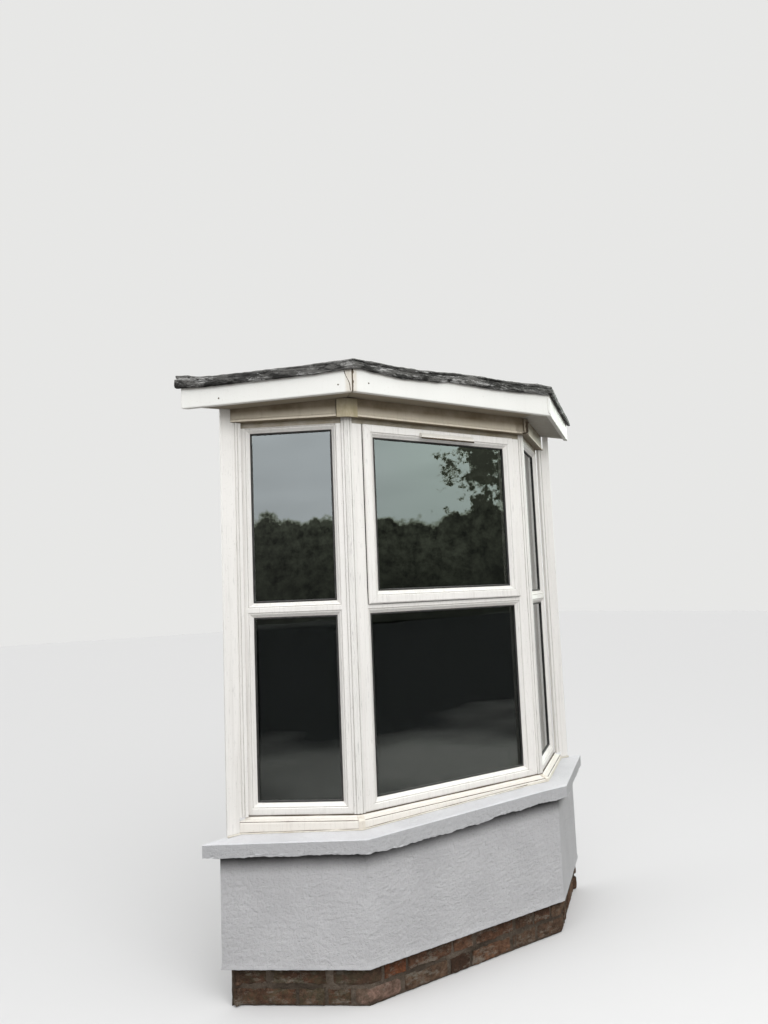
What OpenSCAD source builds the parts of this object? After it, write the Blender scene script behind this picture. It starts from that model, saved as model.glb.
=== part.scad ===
// Canted bay window of a brick terraced house: rendered brick dwarf wall, concrete sill,
// white plastic windows in three facets and a shallow lead roof with fascia and soffit.
// X runs along the house wall, -Y points out of the house, Z is up. The origin lies on the
// face of the house wall, at ground level, in the middle of the bay.

/* [Plan] */
// Width of the front facet, measured between the corners at the outer face of the frames
front_w = 970; // [800:10:1400]
// Distance of the outer face of the front frame from the house wall
frame_proj = 272; // [240:2:360]
// Angle by which each side facet turns back from the front
cant = 37.5; // [32:0.5:45]

/* [Heights] */
// Underside of the render above the ground
render_z = 140; // [75:5:220]
// Underside of the concrete sill
sill_z = 580; // [500:5:700]
// Underside of the frames
frame_z = 683; // [660:1:800]
// Top of the frames
head_z = 2287; // [2200:1:2400]
// Middle of the transoms of the side windows
transom_z = 1486.5; // [1300:0.5:1700]
// Underside of the fascia
fascia_z = 2331; // [2320:1:2420]

/* [Dwarf wall] */
// Thickness of the brick wall, half a brick or one brick
brick_t = 215; // [102.5, 215]
// How far the brick face stands out from the frame face
brick_out = 56; // [40:1:90]
// Thickness of the render
render_t = 16; // [10:1:25]
// Thickness of the plaster inside
plaster_t = 13; // [10:1:20]

/* [Concrete sill] */
// How far the nose stands out from the frame face
nose_out = 116; // [90:1:150]
// Height of the nose
nose_h = 52; // [35:1:70]

/* [Windows] */
// Depth of the frame section
frame_d = 70; // [60:1:80]
// Sight width of a full frame member without its bead
frame_face = 49; // [35:1:60]
// Sight width of a glazing bead
bead_w = 18; // [14:1:25]
// Height of the transom between its two beads
transom_face = 23; // [18:1:40]
// Thickness of the sealed glass unit
glass_t = 28; // [20:1:36]
// Sight width of the opening sash without its bead
sash_face = 34; // [30:1:50]
// How far the opening sash stands out from the frame
sash_proud = 16; // [10:1:24]
// Half width of the corner post, from the corner to the frame
post_leg = 24; // [24:1:40]

/* [Head and eaves] */
// How far the head board stands out from the frame face
head_out = 28; // [15:1:60]
// Height of the head board's lower edge
head_lip_z = 2263; // [2240:1:2280]
// How far the fascia stands out from the frame face
fascia_out = 151; // [110:1:200]
// Height of the fascia board
fascia_h = 100; // [80:5:150]
// Thickness of the fascia board
fascia_t = 18; // [9:1:25]
// Pitch of the roof planes
roof_pitch = 12; // [8:0.5:20]
// Angle by which the left-hand eaves have sunk towards the house wall
left_sag = 2.4; // [0:0.2:2.6]

/* [Hidden] */

// Plan geometry: every outline is the frame line moved outwards by an offset o
SIDES = ["left", "front", "right"];
mitre = tan(cant / 2);
front_half = front_w / 2;
facet_len = frame_proj / sin(cant);
far = 900;
tall = 4000;
joint_gap = 1.5;
function half_at(o) = front_half + o * mitre;
function proj_at(o) = frame_proj + o;
function wall_half_at(o) = half_at(o) + proj_at(o) / tan(cant);
function outline(o) = [
    [-wall_half_at(o), 0], [-half_at(o), -proj_at(o)],
    [half_at(o), -proj_at(o)], [wall_half_at(o), 0]
];
function reversed(list) = [for (i = [len(list) - 1 : -1 : 0]) list[i]];

// Builds the left-hand piece as drawn and the right-hand one as its mirror image
module handed(side) {
    mirror([side == "right" ? 1 : 0, 0, 0])
        children();
}

// Region of the plan that belongs to one facet, less half a joint at each corner
module facet_region(side, gap) {
    g = gap / 2;
    tip = half_at(-frame_proj);
    out = half_at(far);
    deep = -proj_at(far);
    if (side == "front") {
        polygon([[-tip + g, 0], [tip - g, 0], [out - g, deep], [-out + g, deep]]);
    }
    else {
        mirror([side == "right" ? 1 : 0, 0])
            polygon([[-3 * far, 0], [-tip - g, 0], [-out - g, deep], [-3 * far, deep]]);
    }
}

// Turns local axes (X along the facet to the right, +Y inwards, Z up) to a facet.
// The local origin is the corner with the front; for the front it is the middle.
module on_facet(side) {
    if (side == "front") {
        translate([0, -frame_proj, 0])
            children();
    }
    else {
        handed(side)
            translate([-front_half, -frame_proj, 0])
                rotate([0, 0, -cant])
                    children();
    }
}

// Stands on a corner of the frame line, with +Y inwards along the corner's mitre
module on_corner(side) {
    handed(side)
        translate([-front_half, -frame_proj, 0])
            rotate([0, 0, -cant / 2])
                children();
}

// A profile in (offset, height) run along a facet and mitred at the corners and the wall.
// A sunk run turns in the plane of its facet, about the fascia's foot at the corner.
function sag_of(side) = side == "left" ? left_sag : 0;
module mitred_run(side, gap = joint_gap, sag = 0) {
    pivot = [fascia_out * mitre, 0, fascia_z];
    intersection() {
        on_facet(side)
            translate(pivot)
                rotate([0, -sag, 0])
                    translate(-pivot)
                        rotate([0, 0, -90])
                            rotate([90, 0, 0])
                                linear_extrude(height = 4 * far, center = true)
                                    children();
        translate([0, 0, -10])
            linear_extrude(height = tall)
                facet_region(side, gap);
    }
}

// The stretch of the front's and one side's profile that lies near their corner
module round_corner(side, cover_half, z0, z1) {
    reach = 300;
    intersection() {
        union() {
            mitred_run("front", 0)
                children();
            mitred_run(side, 0)
                children();
        }
        on_corner(side)
            translate([-cover_half, -reach, z0])
                cube([2 * cover_half, reach + 20, z1 - z0]);
    }
}

// A block on a facet between [left, right, bottom, top] and two depths
module rect_block(r, y0, y1) {
    translate([r[0], y0, r[2]])
        cube([r[1] - r[0], y1 - y0, r[3] - r[2]]);
}
function grown(r, d) = [r[0] - d, r[1] + d, r[2] - d, r[3] + d];

// A section run round a light and mitred at its four corners.
// The section is drawn as (distance outwards from the light's edge, depth).
module mitred_ring(r) {
    wide = (r[1] - r[0]) / 2;
    high = (r[3] - r[2]) / 2;
    reach = 100;
    translate([(r[0] + r[1]) / 2, 0, (r[2] + r[3]) / 2])
        for (turn = [0 : 3]) {
            run = turn % 2 == 0 ? wide : high;
            gap = turn % 2 == 0 ? high : wide;
            rotate([0, 90 * turn, 0])
                intersection() {
                    translate([0, 0, -gap])
                        rotate([0, 90, 0])
                            linear_extrude(height = 2 * (run + reach), center = true)
                                children();
                    rotate([90, 0, 0])
                        linear_extrude(height = 4 * reach, center = true)
                            polygon([
                                [-run + 10, 10 - gap], [run - 10, 10 - gap],
                                [run + reach, -gap - reach], [-run - reach, -gap - reach]
                            ]);
                }
        }
}

// The shallow groove left where the weld of a mitre was cleaned, from an outer corner
// to an inner corner of the face at depth y
module weld_groove(outer, inner, y) {
    groove_w = 1.6;
    groove_d = 0.4;
    run = inner - outer;
    translate([outer[0], y, outer[1]])
        rotate([0, -atan2(run[1], run[0]), 0])
            translate([1, -groove_d, -groove_w / 2])
                cube([norm(run) - 1, 2 * groove_d, groove_w]);
}
module weld_grooves(outer, inner, y) {
    for (i = [0, 1])
        for (k = [2, 3])
            weld_groove([outer[i], outer[k]], [inner[i], inner[k]], y);
}

// Dwarf wall
brick_in = brick_out - brick_t;
frame_back = -frame_d;
cill_z = 639;
board_t = 25;
board_z = frame_z - 18;
sill_back = frame_back - 2;

module brick_wall(side) {
    color("sienna")
        mitred_run(side, 0)
            polygon([
                [brick_in, 0], [brick_out, 0], [brick_out, sill_z],
                [sill_back, sill_z], [sill_back, board_z], [brick_in, board_z]
            ]);
}

// Render with a bell-mouth drip along its foot
module render_coat(side) {
    drip = 3;
    face = brick_out + render_t;
    color("darkgray")
        mitred_run(side, 0)
            polygon([
                [brick_out, render_z], [face + drip, render_z], [face + drip, render_z + 4],
                [face + 1, render_z + 14], [face, render_z + 24],
                [face, sill_z], [brick_out, sill_z]
            ]);
}

module inner_plaster() {
    color("gainsboro")
        linear_extrude(height = board_z)
            polygon(concat(outline(brick_in), reversed(outline(brick_in - plaster_t))));
}

// Concrete sill with a weathered top and a drip groove under its nose
module concrete_sill(side) {
    drip_w = 10;
    drip_h = 8;
    drip_o = nose_out - 28;
    arris = 4;
    color("silver")
        mitred_run(side, 0)
            polygon([
                [sill_back, sill_z], [drip_o, sill_z], [drip_o + 2, sill_z + drip_h],
                [drip_o + drip_w - 2, sill_z + drip_h], [drip_o + drip_w, sill_z],
                [nose_out, sill_z], [nose_out, sill_z + nose_h - arris],
                [nose_out - arris, sill_z + nose_h], [30, cill_z], [sill_back, cill_z]
            ]);
}

// Plastic cill: hooked nose, two steps and an upstand under the frame
cill_out = 30;
module cill(side) {
    hook = 5;
    color("ivory")
        mitred_run(side)
            polygon([
                [frame_back, cill_z], [cill_out - 2, cill_z], [cill_out, cill_z + 2],
                [cill_out, cill_z + 21], [cill_out - 1, cill_z + 24],
                [cill_out - hook, cill_z + 26], [cill_out - hook - 1, cill_z + 29],
                [9, cill_z + 34], [8, cill_z + 36], [4, frame_z - 4], [3, frame_z - 3],
                [0, frame_z - 3], [0, frame_z], [frame_back, frame_z]
            ]);
}
// Moulded caps that clip over the two mitres of the cill
module cill_cap_section() {
    polygon([
        [cill_out + 0.2, cill_z + 2], [cill_out + 2, cill_z + 2], [cill_out + 2, cill_z + 24.5],
        [cill_out + 0.5, cill_z + 26.5], [cill_out - 3.5, cill_z + 30.5], [9.5, cill_z + 36],
        [6, cill_z + 41.5], [4.2, cill_z + 40.2], [8.2, cill_z + 36.2], [9.2, cill_z + 34.2],
        [cill_out - 5.8, cill_z + 29.2], [cill_out - 4.8, cill_z + 26.2], [cill_out - 0.8, cill_z + 24.2],
        [cill_out + 0.2, cill_z + 21.2]
    ]);
}
module cill_corner_caps() {
    cap_half = 13;
    color("ivory")
        for (side = ["left", "right"])
            round_corner(side, cap_half, cill_z, frame_z)
                cill_cap_section();
}

// Visible glass of each light, as [left, right, bottom, top] in facet axes
glass_in = 20;
stop_y = glass_in + glass_t + 4;
side_left = -facet_len;
side_right = -post_leg;
side_glass_left = side_left + 37;
side_glass_right = side_right - 42;
front_edge = front_half - post_leg;
front_glass = front_edge - frame_face - bead_w;
glass_bottom = frame_z + 45;
glass_top = head_z - frame_face - bead_w;
transom_half = transom_face / 2 + bead_w;
side_lower = [side_glass_left, side_glass_right, glass_bottom, transom_z - transom_half];
side_upper = [side_glass_left, side_glass_right, transom_z + transom_half, glass_top];
front_lower = [-front_glass, front_glass, glass_bottom, transom_z - transom_half];
sash_edge = sash_face + bead_w;
sash_half = front_edge - frame_face;
sash_outer = [-sash_half, sash_half, front_lower[3] + bead_w + 20, head_z - 46];
sash_glass = grown(sash_outer, -sash_edge);

// The light through a frame: glazing rebate, daylight, and a chamfer on the rebate's edge
module light_cut(r) {
    chamfer = 3;
    rect_block(grown(r, bead_w), -1, stop_y);
    rect_block(r, 0, frame_d + 1);
    mitred_ring(r)
        polygon([[bead_w - 1, -1], [bead_w + chamfer + 1, -1], [bead_w - 1, chamfer + 1]]);
}

module frame_side(side) {
    outer = [side_left, side_right, frame_z, head_z];
    color("white")
        on_facet(side)
            difference() {
                rect_block(outer, 0, frame_d);
                light_cut(side_lower);
                light_cut(side_upper);
                for (i = [0, 1]) {
                    weld_groove([outer[i], frame_z], [side_lower[i], glass_bottom], 0);
                    weld_groove([outer[i], head_z], [side_upper[i], glass_top], 0);
                }
            }
}

// The front frame has a rebated opening for the sash above and a fixed light below
module frame_front() {
    lap = 8;
    rebate_d = 56;
    sash_hole = grown(sash_outer, -lap);
    past_hole = grown(sash_hole, -3);
    color("white")
        on_facet("front")
            difference() {
                rect_block([-front_edge, front_edge, frame_z, head_z], 0, frame_d);
                light_cut(front_lower);
                rect_block(sash_hole, -1, rebate_d);
                rect_block(grown(sash_hole, -16), 0, frame_d + 1);
                for (i = [0, 1]) {
                    corner = i == 0 ? -front_edge : front_edge;
                    weld_groove([corner, frame_z], [front_lower[i], glass_bottom], 0);
                    weld_groove([corner, head_z], [past_hole[i], past_hole[3]], 0);
                }
            }
}

// Top-hung sash: its outer leaf laps over the frame, its body stands in the frame's rebate
module opening_sash() {
    leaf_y = -1;
    back_y = 54;
    body = sash_edge - 12;
    color("white")
        on_facet("front")
            difference() {
                mitred_ring(sash_glass)
                    polygon([
                        [bead_w, 3 - sash_proud], [bead_w + 3, -sash_proud],
                        [sash_edge - 5, -sash_proud], [sash_edge - 1, 3.5 - sash_proud],
                        [sash_edge, 6 - sash_proud], [sash_edge, leaf_y],
                        [body, leaf_y], [body, back_y], [0, back_y],
                        [0, stop_y - sash_proud], [bead_w, stop_y - sash_proud]
                    ]);
                weld_grooves(sash_outer, grown(sash_glass, bead_w), -sash_proud);
            }
}

// Glazing bead with a quirk, an ogee-like slope and a lip on the glass
module bead_ring(r, y_glass) {
    mitred_ring(r)
        polygon([
            [0, y_glass], [0, y_glass - 3.5], [1.5, y_glass - 5], [5, y_glass - 7.5],
            [11, y_glass - 14], [14.5, y_glass - 16.5], [bead_w - 1.5, y_glass - 16.5],
            [bead_w - 0.2, y_glass - 15.5], [bead_w - 0.2, y_glass]
        ]);
}
module glazing_beads() {
    color("white") {
        for (side = ["left", "right"])
            on_facet(side) {
                bead_ring(side_lower, glass_in);
                bead_ring(side_upper, glass_in);
            }
        on_facet("front") {
            bead_ring(front_lower, glass_in);
            bead_ring(sash_glass, glass_in - sash_proud);
        }
    }
}

module pane(r, y_glass) {
    pane_edge = 14;
    rect_block(grown(r, pane_edge), y_glass, y_glass + glass_t);
}
module upper_glass() {
    color("lightblue", 0.5) {
        for (side = ["left", "right"])
            on_facet(side)
                pane(side_upper, glass_in);
        on_facet("front")
            pane(sash_glass, glass_in - sash_proud);
    }
}
module lower_glass() {
    color("lightblue", 0.5) {
        for (side = ["left", "right"])
            on_facet(side)
                pane(side_lower, glass_in);
        on_facet("front")
            pane(front_lower, glass_in);
    }
}

// Espagnolette handle on the room side of the sash's bottom rail
module sash_handle() {
    plate_y = 54;
    plate_z = sash_glass[2] - sash_edge / 2 + 4;
    neck_r = 8;
    lever_y = 24;
    lever_t = 11;
    grip = 105;
    color("white")
        on_facet("front")
            translate([0, plate_y, plate_z])
                rotate([-90, 0, 0]) {
                    linear_extrude(height = 9) {
                        translate([-24, -11])
                            square([48, 22]);
                        for (x = [-24, 24])
                            translate([x, 0])
                                circle(r = 11, $fn = 40);
                    }
                    cylinder(r = neck_r, h = lever_y + 1, $fn = 40);
                    translate([0, 0, lever_y])
                        linear_extrude(height = lever_t) {
                            circle(r = 11, $fn = 40);
                            polygon([[0, -11], [30, -8], [grip, -8], [grip, 8], [30, 8], [0, 11]]);
                            translate([grip, 0])
                                circle(r = 8, $fn = 40);
                        }
                }
}

// Slim ventilator hood over the head of the sash, open underneath, with closed ends
module trickle_vent() {
    vent_w = 290;
    vent_x = 18;
    vent_z = sash_glass[3] + 14;
    end_t = 4;
    color("white")
        on_facet("front")
            translate([vent_x - vent_w / 2, -sash_proud, vent_z])
                difference() {
                    rotate([90, 0, 90])
                        linear_extrude(height = vent_w)
                            polygon([[0, 0], [0, 19], [-5, 19], [-8, 17.5], [-16, 6], [-16, 0]]);
                    translate([end_t, 0, 0])
                        rotate([90, 0, 90])
                            linear_extrude(height = vent_w - 2 * end_t)
                                polygon([[-3.5, -1], [-3.5, 15], [-6, 15], [-13.5, 4.5], [-13.5, -1]]);
                }
}

// Corner post. Each leg of its cover lies on a frame and carries two flat ribs;
// t is the depth into the wall, so a rib has a negative t.
function on_leg(s, t) = [
    -s * cos(cant / 2) + t * sin(cant / 2),
    s * sin(cant / 2) + t * cos(cant / 2)
];
module corner_post(side) {
    depth = frame_d - 8;
    duct_r = 10;
    leg = post_leg - 0.25;
    rib = -4.5;
    flute = -2;
    half_plan = [
        on_leg(leg, depth), on_leg(leg, 0), on_leg(leg - 0.5, rib + 1.5),
        on_leg(leg - 2, rib), on_leg(leg / 2 + 2.5, rib), on_leg(leg / 2 + 1.5, flute),
        on_leg(leg / 2 - 0.5, flute), on_leg(leg / 2 - 1.5, rib), on_leg(3, rib),
        on_leg(1.5, rib + 1.5), on_leg(1, flute)
    ];
    mirrored = [for (i = [len(half_plan) - 1 : -1 : 0]) [-half_plan[i][0], half_plan[i][1]]];
    color("white")
        on_corner(side)
            translate([0, 0, frame_z])
                linear_extrude(height = head_z - frame_z)
                    difference() {
                        polygon(concat(half_plan, mirrored));
                        translate([0, 22])
                            circle(r = duct_r, $fn = 48);
                    }
}

// Cover trims flat on the house wall at both ends of the bay: a wide rounded board and a
// ribbed strip beside the frame
trim_outer = 930;
trim_w = 62;
strip_w = 24;
strip_t = 16;
module side_trim(side) {
    trim_z = cill_z - 3;
    trim_t = 9;
    groove = 2.5;
    x0 = -trim_outer;
    x1 = x0 + trim_w;
    color("white")
        handed(side)
            difference() {
                union() {
                    translate([0, 0, trim_z])
                        linear_extrude(height = soffit_z - trim_z)
                            polygon([
                                [x0, 0], [x0, -5], [x0 + 1.5, -7.5], [x0 + 4, -trim_t],
                                [x1 + 1, -trim_t], [x1 + 1, 0]
                            ]);
                    translate([0, 0, trim_z])
                        linear_extrude(height = head_z - trim_z)
                            polygon([
                                [x1, 0], [x1, 3 - strip_t], [x1 + 2, -strip_t],
                                [x1 + 7, -strip_t], [x1 + 8, groove - strip_t],
                                [x1 + 10, groove - strip_t], [x1 + 11, -strip_t],
                                [x1 + strip_w, -strip_t], [x1 + strip_w, 0]
                            ]);
                }
                trim_cut(0.5, 0, tall);
                trim_cut(cill_out + 1, cill_z - 10, frame_z);
                trim_cut(head_out + 7, head_lip_z - 1, tall);
                if (side == "left") {
                    above_soffit();
                }
            }
}
// What the outline at one offset takes out of a trim between two heights
module trim_cut(o, z0, z1) {
    translate([0, 0, z0])
        linear_extrude(height = z1 - z0)
            polygon([
                [-wall_half_at(o), 1], [-wall_half_at(o), 0], [-half_at(o), -proj_at(o)],
                [0, -proj_at(o)], [0, 1]
            ]);
}

// Head boards between the frames and the soffit, with a moulded lip
soffit_z = fascia_z + 9;
soffit_t = 9;
head_board_t = 9;
module head_board(side) {
    lip = head_out + 6;
    back = head_out - head_board_t;
    color("whitesmoke")
        difference() {
            mitred_run(side)
                polygon([
                    [0.5, head_lip_z], [lip - 1, head_lip_z], [lip, head_lip_z + 1.5],
                    [lip, head_lip_z + 8], [lip - 2, head_lip_z + 11],
                    [head_out + 1, head_lip_z + 13], [head_out, head_lip_z + 15],
                    [head_out, soffit_z], [back, soffit_z],
                    [back, head_lip_z + 9], [0.5, head_lip_z + 9]
                ]);
            if (side == "left") {
                above_soffit();
            }
        }
}
// All that lies above the underside of the sunk soffit on the left
module above_soffit() {
    mitred_run("left", 0, left_sag)
        translate([-100, soffit_z - 0.2])
            square([300, 100]);
}
// Folded covers over the two mitres; the right-hand one is broken off at its foot
module head_corner_covers() {
    cover_half = 22;
    cover_t = 2.5;
    cover_top = soffit_z - 4;
    face = head_out + 6.2;
    color("whitesmoke")
        difference() {
            for (side = ["left", "right"])
                round_corner(side, cover_half, head_lip_z - 5, soffit_z)
                    polygon([
                        [face - 10, head_lip_z - 0.2], [face - 10, head_lip_z - cover_t],
                        [face + cover_t, head_lip_z - cover_t], [face + cover_t, cover_top],
                        [face, cover_top], [face, head_lip_z - 0.2]
                    ]);
            on_corner("right")
                translate([-3, -60, head_lip_z - 10])
                    rotate([0, 24, 0])
                        cube([60, 60, 22]);
        }
}

module soffit_boards() {
    back = head_out - head_board_t;
    color("whitesmoke")
        for (side = SIDES)
            mitred_run(side, 3, sag_of(side))
                translate([back, soffit_z])
                    square([fascia_out - fascia_t - back, soffit_t]);
}

// The mitre at the left-hand corner has opened
module fascia(side) {
    back = fascia_out - fascia_t;
    top = fascia_z + fascia_h;
    gap = side == "left" ? 9 : 2;
    color("white")
        mitred_run(side, gap, sag_of(side))
            polygon([
                [back, fascia_z], [fascia_out - 4, fascia_z], [fascia_out - 1, fascia_z + 1.5],
                [fascia_out, fascia_z + 5], [fascia_out, top], [back, top]
            ]);
}
// Joint cover with a rounded foot on the right-hand corner only
module fascia_corner_cover() {
    cover_half = 15;
    cover_t = 2.3;
    foot_z = fascia_z + 8;
    face = fascia_out + 0.2;
    color("white")
        intersection() {
            round_corner("right", cover_half, foot_z, fascia_z + fascia_h - 16)
                translate([face, foot_z])
                    square([cover_t, fascia_h - 24]);
            on_corner("right")
                translate([0, 0, foot_z + cover_half])
                    rotate([90, 0, 0])
                        linear_extrude(height = 300) {
                            circle(r = cover_half, $fn = 64);
                            translate([-cover_half, 0])
                                square([2 * cover_half, fascia_h]);
                        }
        }
}

// Window board with a rounded nose, and the plasterboard over the bay
module window_board() {
    nose = brick_in - plaster_t - 20;
    color("white")
        for (side = SIDES)
            mitred_run(side, 0)
                polygon([
                    [frame_back - 0.5, board_z], [frame_back - 0.5, board_z + board_t],
                    [nose + 8, board_z + board_t], [nose + 2.5, board_z + board_t - 2.5],
                    [nose, board_z + board_t - 8], [nose, board_z + 8],
                    [nose + 2.5, board_z + 2.5], [nose + 8, board_z]
                ]);
}
module ceiling_board() {
    board_h = 12;
    color("whitesmoke")
        translate([0, 0, head_z])
            linear_extrude(height = board_h)
                polygon(outline(frame_back - 0.5));
}

// Roof carcass: every timber is cut to the planes under the boarding
plate_h = 44;
eave_o = fascia_out - 3;
eave_z = fascia_z + fascia_h;
slope = tan(roof_pitch);
deck_t = 18;
ridge_o = -frame_proj - 60;
bearer_t = 47;
bearer_h = 95;
roof_zone = 600;
function deck_top(o) = eave_z + (eave_o - o) * slope;
function deck_under(o) = deck_top(o) - deck_t;

module roof_plate() {
    color("burlywood")
        translate([0, 0, head_z])
            linear_extrude(height = plate_h)
                polygon(concat(outline(head_out - 10), reversed(outline(frame_back))));
}

module wall_bearer() {
    bearer_half = 600;
    bearer_z = deck_under(-145) - bearer_h - 18;
    bolt_r = 6.5;
    bolt_step = 350;
    color("burlywood")
        difference() {
            translate([-bearer_half, -bearer_t, bearer_z])
                cube([2 * bearer_half, bearer_t, bearer_h]);
            for (i = [-1.5 : 1 : 1.5])
                translate([i * bolt_step, 1, bearer_z + bearer_h / 2])
                    rotate([90, 0, 0])
                        cylinder(r = bolt_r, h = bearer_t + 2, $fn = 48);
        }
}

// Section of a rafter: plumb cut behind the fascia, bird's mouth over the plate. On the
// left its top is planed down to the sunk boarding.
module rafter_section() {
    rafter_d = 70;
    clear = 0.3;
    foot = fascia_out - fascia_t - 0.5;
    seat = head_out - 9.5;
    foot_z = soffit_z + soffit_t + 1;
    back = frame_back - 60;
    polygon([
        [foot, deck_under(foot) - clear], [ridge_o, deck_under(ridge_o) - clear],
        [ridge_o, deck_under(ridge_o) - rafter_d], [back, deck_under(back) - rafter_d],
        [back, head_z + plate_h + 0.5], [seat, head_z + plate_h + 0.5],
        [seat, foot_z], [foot, foot_z]
    ]);
}
module under_deck_section() {
    clear = 0.3;
    polygon([
        [fascia_out, deck_under(fascia_out) - clear], [fascia_out, fascia_z - 200],
        [ridge_o, fascia_z - 200], [ridge_o, deck_under(ridge_o) - clear]
    ]);
}
module rafters() {
    rafter_w = 47;
    hip_w = 35;
    hip_in = 300;
    hip_out = 200;
    color("burlywood")
        intersection() {
            for (side = SIDES)
                intersection() {
                    mitred_run(side, 0)
                        rafter_section();
                    mitred_run(side, 0, sag_of(side))
                        under_deck_section();
                }
            translate([0, 0, head_z])
                linear_extrude(height = roof_zone)
                    difference() {
                        union() {
                            for (x = [-220, 0, 220])
                                translate([x - rafter_w / 2, -far])
                                    square([rafter_w, far]);
                            for (m = [0, 1])
                                mirror([m, 0])
                                    translate([-front_half, -frame_proj]) {
                                        rotate(-cant / 2)
                                            translate([-hip_w / 2, -hip_out])
                                                square([hip_w, hip_in + hip_out]);
                                        rotate(-cant)
                                            translate([-250 - rafter_w / 2, -hip_out])
                                                square([rafter_w, far]);
                                    }
                        }
                        translate([-2 * far, -bearer_t - 0.5])
                            square([4 * far, far]);
                    }
        }
}

module roof_deck() {
    color("tan")
        for (side = SIDES)
            mitred_run(side, 2, sag_of(side))
                polygon([
                    [eave_o, deck_top(eave_o)], [ridge_o, deck_top(ridge_o)],
                    [ridge_o, deck_under(ridge_o)], [eave_o, deck_under(eave_o)]
                ]);
}

// Lead: a sheet to each facet, dressed over the fascia and finished with a rolled edge,
// turned up the house wall at the back, with a roll on each hip
lead_t = 4;
drip_o = fascia_out + 2;
edge_r = 9;
module lead_section() {
    lap_z = eave_z - 4;
    polygon([
        [drip_o, lap_z], [drip_o + lead_t, lap_z],
        [drip_o + lead_t, deck_top(drip_o) + lead_t + 5],
        [drip_o - 6, deck_top(drip_o) + lead_t + 12],
        [drip_o - 30, deck_top(drip_o - 30) + lead_t],
        [ridge_o, deck_top(ridge_o) + lead_t], [ridge_o, deck_top(ridge_o)],
        [drip_o, deck_top(drip_o)]
    ]);
    translate([drip_o + edge_r, eave_z - 15 + edge_r])
        circle(r = edge_r, $fn = 32);
}
// The turned-up edge is highest in the middle of the bay and runs out towards the eaves
module upstand(side) {
    turn_up = 45;
    turn_end = 8;
    end_o = drip_o - 20;
    growth = (turn_up - turn_end) / (end_o + frame_proj);
    function top(o) = deck_top(o) + turn_end + (end_o - o) * growth;
    intersection() {
        mitred_run(side, 0, sag_of(side))
            polygon([
                [end_o, deck_top(end_o)], [end_o, top(end_o)],
                [ridge_o, top(ridge_o)], [ridge_o, deck_top(ridge_o)]
            ]);
        translate([-2 * far, -lead_t, head_z])
            cube([4 * far, lead_t, roof_zone]);
    }
}
module hip_roll(side) {
    roll_r = 11;
    out = drip_o - 2;
    fall = atan(slope * cos(cant / 2));
    run = (out + frame_proj) / cos(cant / 2);
    on_corner(side)
        translate([0, -out / cos(cant / 2), deck_top(out) + lead_t + 1])
            rotate([fall - 90, 0, 0])
                cylinder(r = roll_r, h = run / cos(fall), $fn = 40);
}
module lead(side) {
    color("dimgray")
        if (side == "front") {
            mitred_run(side, 0)
                lead_section();
            upstand(side);
            intersection() {
                union() {
                    hip_roll("left");
                    hip_roll("right");
                }
                translate([0, 0, head_z])
                    linear_extrude(height = roof_zone)
                        polygon([
                            [-2 * far, 0], [-2 * far, -2 * far], [2 * far, -2 * far], [2 * far, 0]
                        ]);
            }
        }
        else {
            difference() {
                union() {
                    mitred_run(side, 0, sag_of(side))
                        lead_section();
                    upstand(side);
                }
                hip_roll(side);
            }
        }
}

brick_wall("left");  // brick_wall_left
brick_wall("front");  // brick_wall_front
brick_wall("right");  // brick_wall_right
render_coat("left");  // render_left
render_coat("front");  // render_front
render_coat("right");  // render_right
inner_plaster();
concrete_sill("left");  // concrete_sill_left
concrete_sill("front");  // concrete_sill_front
concrete_sill("right");  // concrete_sill_right
cill("left");  // cill_left
cill("front");  // cill_front
cill("right");  // cill_right
cill_corner_caps();
frame_side("left");  // frame_left
frame_front();
frame_side("right");  // frame_right
glazing_beads();
upper_glass();
lower_glass();
opening_sash();
sash_handle();
trickle_vent();
corner_post("left");  // corner_post_left
corner_post("right");  // corner_post_right
side_trim("left");  // side_trim_left
side_trim("right");  // side_trim_right
head_board("left");  // head_board_left
head_board("front");  // head_board_front
head_board("right");  // head_board_right
head_corner_covers();
soffit_boards();
fascia("left");  // fascia_left
fascia("front");  // fascia_front
fascia("right");  // fascia_right
fascia_corner_cover();
window_board();
ceiling_board();
roof_plate();
wall_bearer();
rafters();
roof_deck();
lead("left");  // lead_left
lead("front");  // lead_front
lead("right");  // lead_right
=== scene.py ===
# %% [markdown]
# # A canted bay window
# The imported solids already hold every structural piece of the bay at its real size: brick
# dwarf wall, render, concrete sill, plastic windows, boards and lead. This lesson dresses
# them. Pieces whose real form is rough, such as brick, render, concrete and lead, are made
# again with their unevenness. Everything else keeps its solid and gets a worked finish.

# %% Load the solids
import math
import random
from collections import namedtuple

import bmesh
import bpy
from mathutils import Matrix, Vector


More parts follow.
